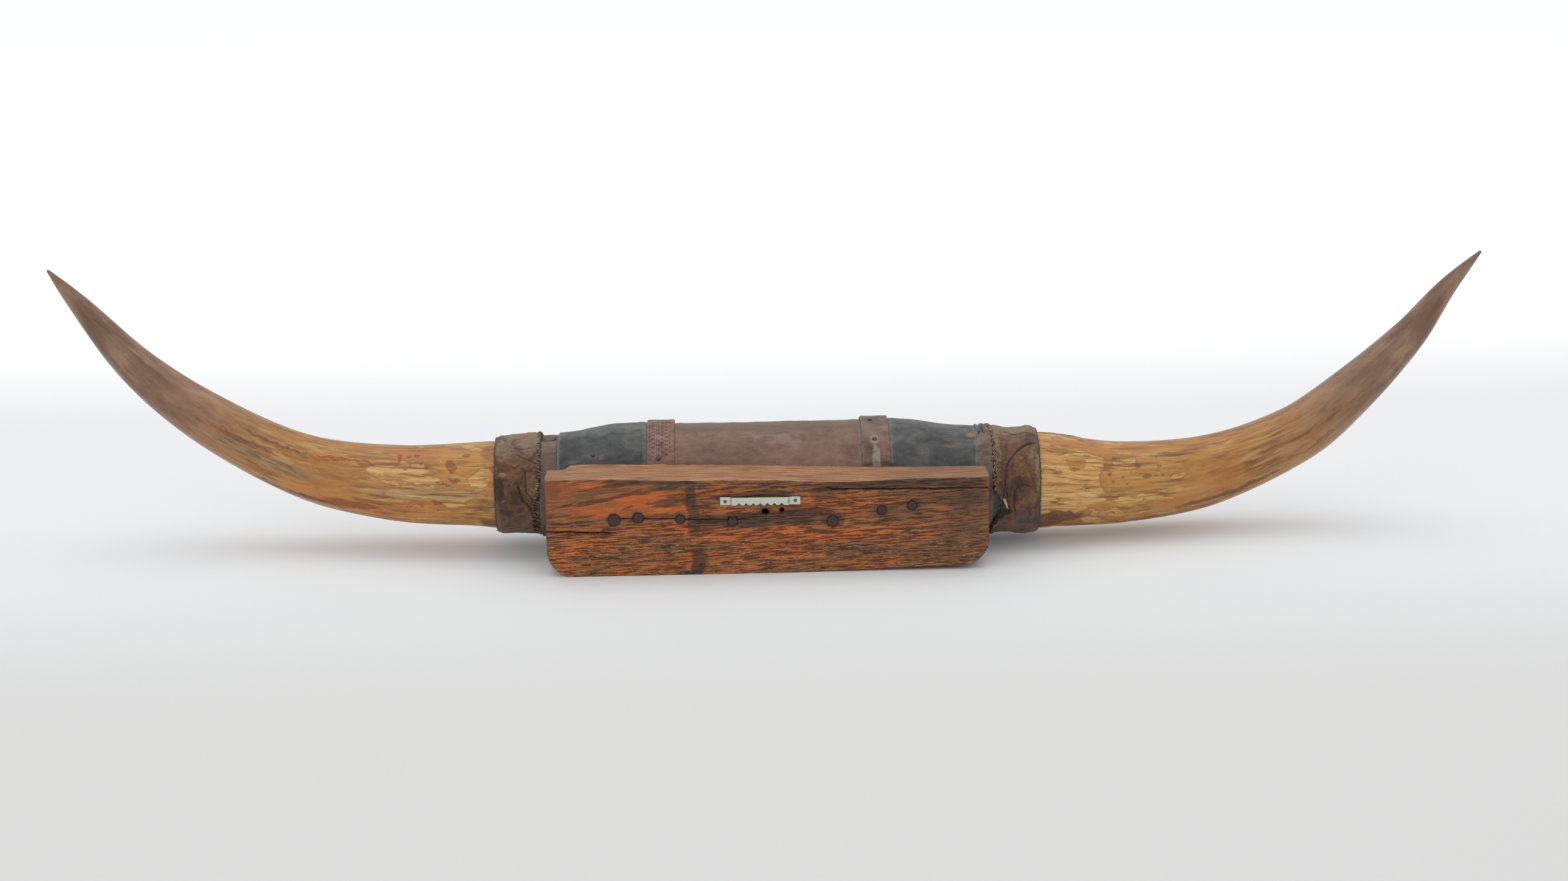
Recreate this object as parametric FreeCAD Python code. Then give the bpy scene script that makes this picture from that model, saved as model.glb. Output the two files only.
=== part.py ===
"""Mounted pair of steer horns: two hollow horns on a padded, leather-covered wooden roll, nailed to an oak board.

Millimetres. +X runs along the horns, -Y is the wall side of the board, +Z is up.
The origin is the centre of the board's underside, which is level with the lowest line of the wide straps.
"""

import FreeCAD
import Part
import math
import os

V = FreeCAD.Vector
OUT = "parts"

# ---- driving dimensions ----------------------------------------------------------------------

# oak board: hand cut, a little taller at the left end than at the right
BOARD_LENGTH = 426.0
BOARD_THICKNESS = 50.0
BOARD_HEIGHT_LEFT = 98.7
BOARD_HEIGHT_RIGHT = 91.0
BOARD_CORNER = 26.0
BOARD_EASE = 1.5
OLD_HOLES = ((-2.4, 61.4, 2.8), (13.6, 62.9, 2.0))  # x, z, radius of two empty screw holes
OLD_HOLE_DEPTH = 30.0

# leather-covered roll: the fat middle, and how far its axis lies behind and above the board
ROLL_RADIUS = 60.0
ROLL_FLAT = 6.0  # how much of the roll is pressed flat where the board is nailed on
LEATHER = 2.5
CORE_RADIUS = 44.0
CORE_END_RADIUS = 39.0
CORE_STRAIGHT = 160.0  # half length of the core's straight middle

# straps over the joints between the brown panel and the black sleeves
STRAP_LEFT_X = -102.6
STRAP_RIGHT_X = 107.0
STRAP_WIDTH = 27.0
STRAP_THICKNESS = 3.0
END_STRAP_THICKNESS = 2.4

# horns: where they start along X, and their radius at shares of their length
HORN_BASE_X = 232.5
HORN_SHARES = (0, 0.05, 0.11, 0.2, 0.33, 0.47, 0.61, 0.75, 0.87, 0.95, 1)
HORN_LEFT_RADII = (45.8, 43.6, 41.2, 38.7, 34.8, 29.4, 25.7, 20.0, 13.3, 6.8, 1.2)
HORN_RIGHT_RADII = (49.0, 48.4, 45.2, 41.0, 36.8, 30.9, 26.6, 20.0, 12.6, 6.2, 1.2)
HOLLOW_SHARE = 0.68  # the hollow ends this far along the horn
HOLLOW_SECTIONS = 7
PLUG_SHARE = 0.16  # the wooden plug fills this much of the horn
PLUG_GAP = 0.4

# centre line of each horn: out along X from the middle, forward of and above the roll's axis
HORN_LEFT_LINE = (
    (HORN_BASE_X, 0, 2.5),
    (250.0, 0, 2.5),
    (268.0, 0, 2.5),
    (365.0, 10.0, 3.1),
    (454.5, 24.0, 17.2),
    (544.0, 34.0, 60.6),
    (616.0, 35.0, 117.4),
    (673.0, 30.0, 188.3),
    (697.7, 24.0, 221.4),
)
HORN_RIGHT_LINE = (
    (HORN_BASE_X, 0, -2.5),
    (250.0, 0, -3.1),
    (271.0, 0, -4.2),
    (353.0, 10.0, -10.4),
    (442.5, 24.0, -3.7),
    (532.0, 34.0, 29.6),
    (586.0, 36.0, 71.6),
    (640.0, 33.0, 127.3),
    (676.0, 28.0, 177.8),
    (707.4, 23.0, 214.9),
)

# hide cuffs over the joint between horn and sleeve
CUFF_LEFT_OUTER = 50.0
CUFF_RIGHT_OUTER = 53.2
CUFF_LIFT = {-1: 2.5, 1: -2.5}  # the horns are not quite in line: the left one sits high, the right one low
CUFF_LEFT_SEAT = 46.0  # radius of the sleeve's end inside the cuff
CUFF_RIGHT_SEAT = 49.0
CUFF_INNER_X = 221.0  # the edge nearest the middle
CUFF_WIDTH_LEFT = 44.5
CUFF_WIDTH_RIGHT = 47.0
CUFF_ROUND = 1.4
LACING_RADIUS = 1.3

# sleeves: (distance from the middle, outer radius) from the wide strap out to the end strap
SLEEVE_LEFT_LINE = ((118.0, 60.0), (146.0, 58.6), (166.0, 54.6), (186.0, 51.2), (204.0, 50.0))
SLEEVE_RIGHT_LINE = ((122.0, 60.0), (144.0, 58.8), (162.0, 56.0), (180.0, 53.2), (207.0, 51.8))
END_STRAP_DROP = 2.4  # the end strap draws the sleeve in by this much

# nails through the board into the core: x, z, head radius
BOARD_NAILS = (
    (-147.4, 56.2, 5.4),
    (-124.1, 57.8, 4.7),
    (-83.9, 55.5, 4.1),
    (-33.8, 52.4, 4.5),
    (62.0, 51.1, 4.9),
    (109.3, 60.9, 4.1),
    (138.4, 64.9, 4.1),
)
NAIL_LENGTH = 100.0
NAIL_SHANK = 2.4
NAIL_HEAD_THICKNESS = 2.0
NAIL_HEAD_PROUD = 0.7
NAIL_POINT = 7.0

# sawtooth hanger: a bent strip with notches along its lower edge
HANGER_X = -7.0
HANGER_Z = 72.6
HANGER_LENGTH = 77.0
HANGER_HEIGHT = 8.0
HANGER_SHEET = 0.8
HANGER_TAB = 9.6
HANGER_STEP = 2.2  # how far the toothed middle stands off the board
HANGER_SLOPE = 2.6
NOTCHES = 7
NOTCH_PITCH = 6.8
NOTCH_DEPTH = 2.4
BRAD_SPACING = 67.2
BRAD_HEAD = 1.6
BRAD_SHANK = 0.8
BRAD_LENGTH = 12.0

# small nails and screws
TACK_HEAD = 2.6
TACK_SHANK = 0.9
TACK_LENGTH = 14.0
TACK_DOME = 1.2
RIM_NAIL_HEAD = 3.0
RIM_NAIL_SHANK = 1.25
RIM_NAIL_LENGTH = 26.0
RIM_NAILS = 4
RIM_NAIL_X = 251.0
SCREW_SHANK = 4.0
SCREW_LENGTH = 130.0
SCREW_HEAD_ACROSS = 15.0
SCREW_HEAD_HEIGHT = 6.0

# ---- places worked out from the driving dimensions -----------------------------------------------

BOARD_WALL_Y = -BOARD_THICKNESS / 2
BOARD_ROLL_Y = BOARD_THICKNESS / 2
ROLL_Y = BOARD_ROLL_Y + ROLL_RADIUS - ROLL_FLAT
ROLL_Z = ROLL_RADIUS + STRAP_THICKNESS  # the wide straps stand level with the board's underside
BIG = 2000.0


# ---- helpers ------------------------------------------------------------------------------------


def at(x, forward, up):
    """A point given along X, and forward of and above the roll's axis."""
    return V(x, ROLL_Y + forward, ROLL_Z + up)


def turned(outline):
    """The solid made by turning an outline of edges, drawn in (x, radius) on the roll's axis, about that axis."""
    face = Part.Face(Part.Wire(Part.__sortEdges__(outline)))
    return face.revolve(at(0, 0, 0), V(1, 0, 0), 360)


def line(a, b):
    """A straight edge between two (x, radius) points above the roll's axis."""
    return Part.makeLine(at(a[0], 0, a[1]), at(b[0], 0, b[1]))


def turned_polygon(points):
    return turned([line(points[i], points[(i + 1) % len(points)]) for i in range(len(points))])


def clear_of_board(solid, flat_y=BOARD_ROLL_Y):
    """The part of a solid in front of the plane y = flat_y, where the board presses."""
    return solid.common(Part.makeBox(BIG, BIG, BIG, V(-BIG / 2, flat_y, -BIG / 2)))


def slab(x0, x1, y1):
    """Everything between two places along X, behind the plane y = y1."""
    return Part.makeBox(x1 - x0, BIG, BIG, V(x0, y1 - BIG, -BIG / 2))


def along(solid, start, direction):
    """Moves a solid drawn from the origin along +Z so that it starts at start and runs along direction."""
    moved = solid.copy()
    moved.Placement = FreeCAD.Placement(start, FreeCAD.Rotation(V(0, 0, 1), direction))
    return moved


def drawn(points, first_tangent=None):
    """A smooth curve through points."""
    curve = Part.BSplineCurve()
    if first_tangent is None:
        curve.interpolate(Points=points)
    else:
        chord = points[-1].sub(points[-2])
        curve.interpolate(Points=points, InitialTangent=first_tangent, FinalTangent=chord)
    return curve


def pack_solid(shape):
    """One clean solid from a boolean result that holds exactly one."""
    clean = shape.removeSplitter()
    assert len(clean.Solids) == 1, f"expected one solid, found {len(clean.Solids)}"
    return clean.Solids[0]


# ---- the board and what is nailed to it ----------------------------------------------------------


def board_outline():
    half, left, right, r = BOARD_LENGTH / 2, BOARD_HEIGHT_LEFT, BOARD_HEIGHT_RIGHT, BOARD_CORNER
    y = BOARD_WALL_Y
    slant = r * math.sqrt(0.5)
    left_corner = Part.Arc(V(-half, y, r), V(-half + r - slant, y, r - slant), V(-half + r, y, 0))
    right_corner = Part.Arc(V(half - r, y, 0), V(half - r + slant, y, r - slant), V(half, y, r))
    return Part.Wire(
        [
            left_corner.toShape(),
            Part.makeLine(V(-half + r, y, 0), V(half - r, y, 0)),
            right_corner.toShape(),
            Part.makeLine(V(half, y, r), V(half, y, right)),
            Part.makeLine(V(half, y, right), V(-half, y, left)),
            Part.makeLine(V(-half, y, left), V(-half, y, r)),
        ]
    )


def oak_backboard(holes_for):
    board = Part.Face(board_outline()).extrude(V(0, BOARD_THICKNESS, 0))
    top = [e for e in board.Edges if e.BoundBox.ZMin > BOARD_HEIGHT_RIGHT - 1 and e.BoundBox.XLength > 1]
    board = board.makeFillet(BOARD_EASE, top)
    for x, z, r in OLD_HOLES:
        board = board.cut(Part.makeCylinder(r, OLD_HOLE_DEPTH, V(x, BOARD_WALL_Y, z), V(0, 1, 0)))
    for nails in holes_for:
        board = board.cut(nails)
    return pack_solid(board)


def spike(head_radius):
    """A flat-headed nail along +Z from its head's outer face."""
    shank = NAIL_LENGTH - NAIL_POINT - NAIL_HEAD_THICKNESS
    head = Part.makeCylinder(head_radius, NAIL_HEAD_THICKNESS)
    head = head.makeFillet(0.5, [head.Edges[2]])
    body = Part.makeCylinder(NAIL_SHANK, shank, V(0, 0, NAIL_HEAD_THICKNESS))
    point = Part.makeCone(NAIL_SHANK, 0.3, NAIL_POINT, V(0, 0, NAIL_HEAD_THICKNESS + shank))
    return head.fuse([body, point]).removeSplitter()


def board_nails():
    start_y = BOARD_WALL_Y - NAIL_HEAD_PROUD
    return Part.Compound(
        [along(spike(r), V(x, start_y, z), V(0, 1, 0)).Solids[0] for x, z, r in BOARD_NAILS]
    )


def sawtooth_hanger(brads):
    half = HANGER_LENGTH / 2
    lift, sheet = HANGER_STEP, HANGER_SHEET
    bend = half - HANGER_TAB
    foot = bend - HANGER_SLOPE
    back, front = BOARD_WALL_Y, BOARD_WALL_Y - sheet
    rise = (
        (-half, back),
        (-bend, back),
        (-foot, back - lift),
        (foot, back - lift),
        (bend, back),
        (half, back),
        (half, front),
        (bend, front),
        (foot, front - lift),
        (-foot, front - lift),
        (-bend, front),
        (-half, front),
    )
    low = HANGER_Z - HANGER_HEIGHT / 2
    corners = [V(HANGER_X + x, y, low) for x, y in rise]
    strip = Part.Face(Part.makePolygon(corners + corners[:1])).extrude(V(0, 0, HANGER_HEIGHT))
    for i in range(NOTCHES):
        x = HANGER_X + (i - (NOTCHES - 1) / 2) * NOTCH_PITCH
        w = NOTCH_PITCH * 0.42
        tri = [V(x - w, back + 1, low), V(x + w, back + 1, low), V(x, back + 1, low + NOTCH_DEPTH)]
        notch = Part.Face(Part.makePolygon(tri + tri[:1])).extrude(V(0, -10, 0))
        strip = strip.cut(notch)
    return pack_solid(strip.cut(brads))


def hanger_brads():
    def brad():
        head = Part.makeCylinder(BRAD_HEAD, 0.6)
        return head.fuse(Part.makeCylinder(BRAD_SHANK, BRAD_LENGTH)).removeSplitter()

    y = BOARD_WALL_Y - HANGER_SHEET - 0.6
    places = [HANGER_X + side * BRAD_SPACING / 2 for side in (-1, 1)]
    return Part.Compound([along(brad(), V(x, y, HANGER_Z), V(0, 1, 0)).Solids[0] for x in places])


# ---- the roll: core, padding, leather, straps ----------------------------------------------------


def core_beam(holes_for):
    end, mid = HORN_BASE_X, CORE_STRAIGHT
    beam = turned_polygon(
        (
            (-end, 0),
            (-end, CORE_END_RADIUS),
            (-mid, CORE_RADIUS),
            (mid, CORE_RADIUS),
            (end, CORE_END_RADIUS),
            (end, 0),
        )
    )
    for nails in holes_for:
        beam = beam.cut(nails)
    return pack_solid(beam)


def sleeve_outline(line_points, side, strap_x, base_radius, inset):
    """Edges of half a sleeve's section, inset from its outer face, from the strap's middle to the horn."""
    curve = [(side * x, r - inset) for x, r in line_points]
    start = (strap_x, ROLL_RADIUS - inset)
    last_x, last_r = curve[-1]
    drawn_in = last_r - END_STRAP_DROP
    cuff_x, base_x = side * CUFF_INNER_X, side * HORN_BASE_X
    base_r = base_radius - inset
    spline = drawn([at(x, 0, r) for x, r in curve], V(side * 25.0, 0, 0)).toShape()
    edges = [
        line(start, curve[0]),
        spline,
        line((last_x, last_r), (last_x, drawn_in)),
        line((last_x, drawn_in), (cuff_x, drawn_in)),
        line((cuff_x, drawn_in), (cuff_x, base_r)),
        line((cuff_x, base_r), (base_x, base_r)),
        line((base_x, base_r), (base_x, 0)),
        line((base_x, 0), (strap_x, 0)),
        line((strap_x, 0), start),
    ]
    return turned(edges)


def pressed(envelope, inset):
    """Flattens an envelope where the board presses on it, a little deeper under the wide straps."""
    flat_y = BOARD_ROLL_Y + inset
    shape = clear_of_board(envelope, flat_y)
    for strap_x in (STRAP_LEFT_X, STRAP_RIGHT_X):
        half = STRAP_WIDTH / 2 + inset
        shape = shape.cut(slab(strap_x - half, strap_x + half, flat_y + STRAP_THICKNESS))
    return shape


def envelopes(inset):
    """The three lengths of the roll: left sleeve, brown panel, right sleeve."""
    left = sleeve_outline(SLEEVE_LEFT_LINE, -1, STRAP_LEFT_X, CUFF_LEFT_SEAT, inset)
    right = sleeve_outline(SLEEVE_RIGHT_LINE, 1, STRAP_RIGHT_X, CUFF_RIGHT_SEAT, inset)
    middle = drum(STRAP_LEFT_X, STRAP_RIGHT_X, ROLL_RADIUS - inset)
    return [pressed(e, inset) for e in (left, middle, right)]


def roll_covers():
    """Left sleeve, brown panel and right sleeve, each a closed skin, and the padding inside them."""
    outer, inner = envelopes(0), envelopes(LEATHER)
    covers = [pack_solid(o.cut(i)) for o, i in zip(outer, inner)]
    stuffing = inner[0].fuse(inner[1:])
    return covers, stuffing


def roll_padding(stuffing, core, nails):
    return pack_solid(stuffing.cut(core).cut(nails))


def drum(x0, x1, radius):
    return Part.makeCylinder(radius, x1 - x0, at(x0, 0, 0), V(1, 0, 0))


def wide_strap(x, nails, tacks):
    half = STRAP_WIDTH / 2
    outer = clear_of_board(drum(x - half, x + half, ROLL_RADIUS + STRAP_THICKNESS))
    inner = clear_of_board(drum(x - half, x + half, ROLL_RADIUS), BOARD_ROLL_Y + STRAP_THICKNESS)
    return pack_solid(outer.cut(inner).cut(nails).cut(tacks))


def end_strap(line_points, side):
    x, r = line_points[-1]
    inner = r - END_STRAP_DROP
    outer = inner + END_STRAP_THICKNESS
    a, b = side * x, side * CUFF_INNER_X
    return turned_polygon(((a, inner), (a, outer), (b, outer), (b, inner)))


# angle is measured up from the wall side, round the roll's axis
STRAP_TACKS = (
    (STRAP_LEFT_X - 2.0, 38.0),
    (STRAP_LEFT_X, 140.0),
    (STRAP_LEFT_X, 250.0),
    (STRAP_RIGHT_X - 1.0, 54.0),
    (STRAP_RIGHT_X, 140.0),
    (STRAP_RIGHT_X, 250.0),
)


def strap_tacks():
    """Domed tacks that hold the straps, driven through the leather into the core."""
    found = []
    surface = ROLL_RADIUS + STRAP_THICKNESS
    for x, degrees in STRAP_TACKS:
        a = math.radians(degrees)
        out = V(0, -math.cos(a), math.sin(a))
        head = Part.makeSphere(TACK_HEAD * 1.4, V(0, 0, TACK_HEAD * 1.4))
        head = head.common(Part.makeCylinder(BIG, TACK_DOME))
        shank = Part.makeCylinder(TACK_SHANK, TACK_DOME + TACK_LENGTH)
        shank = shank.cut(Part.makeCylinder(BIG, TACK_DOME * 0.8))
        tack = head.fuse(shank).removeSplitter()
        start = V(x, ROLL_Y, ROLL_Z).add(out * (surface + TACK_DOME))
        found.append(along(tack, start, out * -1).Solids[0])
    return Part.Compound(found)


# ---- the horns and what holds them ---------------------------------------------------------------


class HornShape:
    """A horn's centre line, and its radius along it."""

    def __init__(self, line_points, side, radii):
        points = [at(side * x, y, z) for x, y, z in line_points]
        self.edge = drawn(points, V(side * 20.0, 0, 0)).toShape()
        self.length = self.edge.Length
        self.radii = radii

    def radius(self, share):
        """The radius at a share of the length, straight between the two nearest given ones."""
        i = max(k for k in range(len(HORN_SHARES) - 1) if HORN_SHARES[k] <= share)
        part_way = (share - HORN_SHARES[i]) / (HORN_SHARES[i + 1] - HORN_SHARES[i])
        return self.radii[i] + (self.radii[i + 1] - self.radii[i]) * part_way

    def hollow_radius(self, share):
        return self.radius(share) * (0.86 - 0.7 * share)

    def section(self, share, radius):
        """A circle of that radius square to the centre line, at a share of its length."""
        t = self.edge.getParameterByLength(share * self.length)
        place, tangent = self.edge.valueAt(t), self.edge.tangentAt(t)
        along_x = V(1 if tangent.x > 0 else -1, 0, 0)
        start = Part.Wire(Part.Circle(V(0, 0, 0), along_x, radius).toShape())
        start.Placement = FreeCAD.Placement(place, FreeCAD.Rotation(along_x, tangent))
        return start

    def loft(self, shares, radius_of):
        return Part.makeLoft([self.section(s, radius_of(s)) for s in shares], True)


def spread(first, last, count):
    return [first + (last - first) * i / (count - 1) for i in range(count)]


def horn_outside(shape):
    return shape.loft(HORN_SHARES, shape.radius)


def horn_hollow(shape, gap=0.0):
    shares = spread(0, HOLLOW_SHARE, HOLLOW_SECTIONS)
    return shape.loft(shares, lambda s: shape.hollow_radius(s) - gap)


def horn(shape, rim_nails):
    return pack_solid(horn_outside(shape).cut(horn_hollow(shape)).cut(rim_nails))


def plug_end_x(shape):
    return HORN_BASE_X + shape.length * PLUG_SHARE


def horn_plug(shape, side, screw, rim_nails):
    """A wooden plug that fits the hollow with a little clearance, as far as its outer face."""
    end = plug_end_x(shape)
    room = Part.makeBox(end, BIG, BIG, V(0 if side > 0 else -end, -BIG / 2, -BIG / 2))
    plug = horn_hollow(shape, PLUG_GAP).common(room)
    return pack_solid(plug.cut(screw).cut(rim_nails))


def plug_screw(shape, side):
    """A lag screw on the roll's axis, its head on the plug's outer face and its point in the core."""
    seat = plug_end_x(shape)
    corners = [
        V(SCREW_HEAD_ACROSS / math.sqrt(3) * math.cos(math.radians(60 * i)),
          SCREW_HEAD_ACROSS / math.sqrt(3) * math.sin(math.radians(60 * i)), 0)
        for i in range(7)
    ]
    head = Part.Face(Part.makePolygon(corners)).extrude(V(0, 0, SCREW_HEAD_HEIGHT))
    shank = Part.makeCylinder(SCREW_SHANK, SCREW_LENGTH - 8, V(0, 0, SCREW_HEAD_HEIGHT))
    point = Part.makeCone(SCREW_SHANK, 0.5, 8, V(0, 0, SCREW_HEAD_HEIGHT + SCREW_LENGTH - 8))
    screw = head.fuse([shank, point]).removeSplitter()
    return along(screw, at(side * (seat + SCREW_HEAD_HEIGHT), 0, 0), V(-side, 0, 0)).Solids[0]


def rim_nails(shape, side):
    """Small nails round the horn's rim, through its wall into the plug, hidden by the cuff."""
    share = (RIM_NAIL_X - HORN_BASE_X) / shape.length
    surface = shape.radius(share)
    found = []
    for i in range(RIM_NAILS):
        a = math.radians(45 + 360 / RIM_NAILS * i)
        out = V(0, math.cos(a), math.sin(a))
        head = Part.makeCylinder(RIM_NAIL_HEAD, 0.8)
        nail = head.fuse(Part.makeCylinder(RIM_NAIL_SHANK, RIM_NAIL_LENGTH)).removeSplitter()
        start = at(side * RIM_NAIL_X, 0, 0).add(out * (surface - 0.2))
        found.append(along(nail, start, out * -1).Solids[0])
    return Part.Compound(found)


def hide_cuff(shape, side, seat, outer_radius, width):
    """A band of hide, shrunk on over the sleeve's end and the horn's rim."""
    near, joint, far = (side * x for x in (CUFF_INNER_X, HORN_BASE_X, CUFF_INNER_X + width))
    band = turned_polygon(((near, 0), (near, outer_radius), (far, outer_radius - 1.0), (far, 0)))
    rims = [e for e in band.Edges if e.BoundBox.XLength < 0.1 and e.BoundBox.YLength > outer_radius]
    band = band.makeFillet(CUFF_ROUND, rims)
    band.translate(V(0, 0, CUFF_LIFT[side]))
    sleeve_end = drum(min(near, joint), max(near, joint), seat)
    return pack_solid(band.cut(sleeve_end).cut(horn_outside(shape)))


def cuff_lacing(side, outer_radius):
    """The whip stitches along the cuff's inner edge, drawn as one plain ring."""
    centre = at(side * (CUFF_INNER_X + 3.0), 0, CUFF_LIFT[side])
    return Part.makeTorus(outer_radius + LACING_RADIUS - 0.2, LACING_RADIUS, centre, V(1, 0, 0))


# ---- the assembly -------------------------------------------------------------------------------


def on_board(nails, brads):
    return {
        "oak_backboard": oak_backboard([nails, brads]),
        "board_nails": nails,
        "sawtooth_hanger": sawtooth_hanger(brads),
        "hanger_brads": brads,
    }


def on_roll(nails):
    """The roll's own parts, with holes for the board's nails."""
    tacks = strap_tacks()
    covers, stuffing = roll_covers()
    names = ("leather_sleeve_left", "leather_centre_panel", "leather_sleeve_right")
    parts = {name: pack_solid(cover.cut(nails).cut(tacks)) for name, cover in zip(names, covers)}
    parts["roll_padding"] = roll_padding(stuffing, core_beam([]), nails.fuse(tacks))
    parts["strap_left"] = wide_strap(STRAP_LEFT_X, nails, tacks)
    parts["strap_right"] = wide_strap(STRAP_RIGHT_X, nails, tacks)
    parts["end_strap_left"] = end_strap(SLEEVE_LEFT_LINE, -1)
    parts["end_strap_right"] = end_strap(SLEEVE_RIGHT_LINE, 1)
    parts["strap_tacks"] = tacks
    return parts


def at_one_end(name, side, line_points, radii, seat, outer_radius, width):
    """One horn with its plug, screw, rim nails, cuff and lacing."""
    shape = HornShape(line_points, side, radii)
    print(f"{name} horn: {shape.length:.0f} mm along its centre line")
    screw, rim = plug_screw(shape, side), rim_nails(shape, side)
    cuff = hide_cuff(shape, side, seat, outer_radius, width)
    return {
        f"horn_{name}": horn(shape, rim),
        f"horn_plug_{name}": horn_plug(shape, side, screw, rim),
        f"plug_screw_{name}": screw,
        f"horn_nails_{name}": rim,
        f"hide_cuff_{name}": pack_solid(cuff.cut(rim)),
        f"cuff_lacing_{name}": pack_solid(cuff_lacing(side, outer_radius).cut(cuff)),
    }


def build():
    brads, nails = hanger_brads(), board_nails()
    parts = on_board(nails, brads) | on_roll(nails)
    parts |= at_one_end(
        "left", -1, HORN_LEFT_LINE, HORN_LEFT_RADII, CUFF_LEFT_SEAT, CUFF_LEFT_OUTER, CUFF_WIDTH_LEFT
    )
    parts |= at_one_end(
        "right", 1, HORN_RIGHT_LINE, HORN_RIGHT_RADII, CUFF_RIGHT_SEAT, CUFF_RIGHT_OUTER, CUFF_WIDTH_RIGHT
    )
    driven = [nails, parts["strap_tacks"], parts["plug_screw_left"], parts["plug_screw_right"]]
    parts["core_beam"] = core_beam(driven)
    return parts


os.makedirs(OUT, exist_ok=True)
for name, shape in build().items():
    good = shape.isValid() and all(s.isClosed() for s in shape.Solids)
    print(f"{name:22s} solids {len(shape.Solids)} volume {shape.Volume / 1000:9.2f} cm3 {'ok' if good else 'BAD'}")
    shape.exportStep(os.path.join(OUT, name + ".step"))
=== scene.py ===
# %% [markdown]
# # A mounted pair of steer horns
#
# The object stands on the edge of its oak wall board, seen from the wall side: a padded leather roll is
# nailed to the far side of the board, and a horn comes out of a hide cuff at each end of the roll. The packed
# model gives every piece's place, so the script starts by loading it.

# %% Load the imported model
import bpy
import bmesh
import math
import random
from mathutils import Matrix, Vector, noise


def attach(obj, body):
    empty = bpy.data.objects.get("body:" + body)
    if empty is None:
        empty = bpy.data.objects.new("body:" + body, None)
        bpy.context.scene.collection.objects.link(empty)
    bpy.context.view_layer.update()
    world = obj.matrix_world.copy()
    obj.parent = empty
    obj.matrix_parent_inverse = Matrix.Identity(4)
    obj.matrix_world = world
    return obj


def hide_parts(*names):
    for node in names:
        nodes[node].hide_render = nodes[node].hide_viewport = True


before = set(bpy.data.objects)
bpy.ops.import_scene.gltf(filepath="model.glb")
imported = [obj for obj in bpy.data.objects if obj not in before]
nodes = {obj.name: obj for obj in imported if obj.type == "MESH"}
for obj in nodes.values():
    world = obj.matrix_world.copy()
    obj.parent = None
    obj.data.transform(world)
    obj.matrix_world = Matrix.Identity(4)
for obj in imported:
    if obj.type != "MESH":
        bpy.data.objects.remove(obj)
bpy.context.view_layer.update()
print("nodes:", ", ".join(sorted(nodes)))

# %% [markdown]
# ## Camera, floor and light
#
# The camera looks down on the board from the front, a little over fourteen degrees, with a long lens, so the
# horns keep their shape. It leans by less than a degree.
# The floor and the surround are a pale paper sweep, its colour painted darker near the object and paler and
# bluer behind it, as painted shade and light. Most of the light comes from a bright surround, which gives the
# soft grey shadows of a light tent, and a broad lamp overhead makes the tops a little brighter. The Standard
# view keeps white paper white. The sweep's far part glows a little, so it is as bright as the surround and
# fades out.

# %% Camera
CAMERA_AZIMUTH = 1.0
CAMERA_ELEVATION = 14.75
CAMERA_ROLL = 0.85
CAMERA_DISTANCE = 2.9013
CAMERA_TARGET = Vector((0.0166, -0.025, 0.1317))


def make_camera():
    az, el, roll = (math.radians(a) for a in (CAMERA_AZIMUTH, CAMERA_ELEVATION, CAMERA_ROLL))
    forward = Vector((math.sin(az) * math.cos(el), math.cos(az) * math.cos(el), -math.sin(el)))
    level_right = Vector((math.cos(az), -math.sin(az), 0))
    level_up = level_right.cross(forward)
    up = level_up * math.cos(roll) + level_right * math.sin(roll)
    right = level_right * math.cos(roll) - level_up * math.sin(roll)
    data = bpy.data.cameras.new("camera")
    data.lens = 70
    data.sensor_width = 36
    camera = bpy.data.objects.new("camera", data)
    turn = Matrix((right, up, -forward)).transposed().to_4x4()
    camera.matrix_world = Matrix.Translation(CAMERA_TARGET - forward * CAMERA_DISTANCE) @ turn
    bpy.context.scene.collection.objects.link(camera)
    bpy.context.scene.camera = camera
    return camera


camera = make_camera()
print("camera at", [round(c, 3) for c in camera.matrix_world.translation])

# %% Floor and light
bpy.context.scene.view_settings.view_transform = "Standard"
# Painted shade and light: the paper's colour is darker near the object and paler and bluer behind it.
FLOOR_SHADED_NEAR, FLOOR_LIT_FAR = (0.79, 0.787, 0.775, 1), (0.94, 0.955, 0.97, 1)
FLOOR_SIZE = 20.0
FLOOR_SHADE_FADE = (-0.45, 0.15)  # from the near tone to the far one, along Y in metres
GLOW_FADE, FLOOR_GLOW = (0.55, 1.25), 0.30  # the far paper glows a little
SURROUND_LIGHT = 0.74


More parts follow.
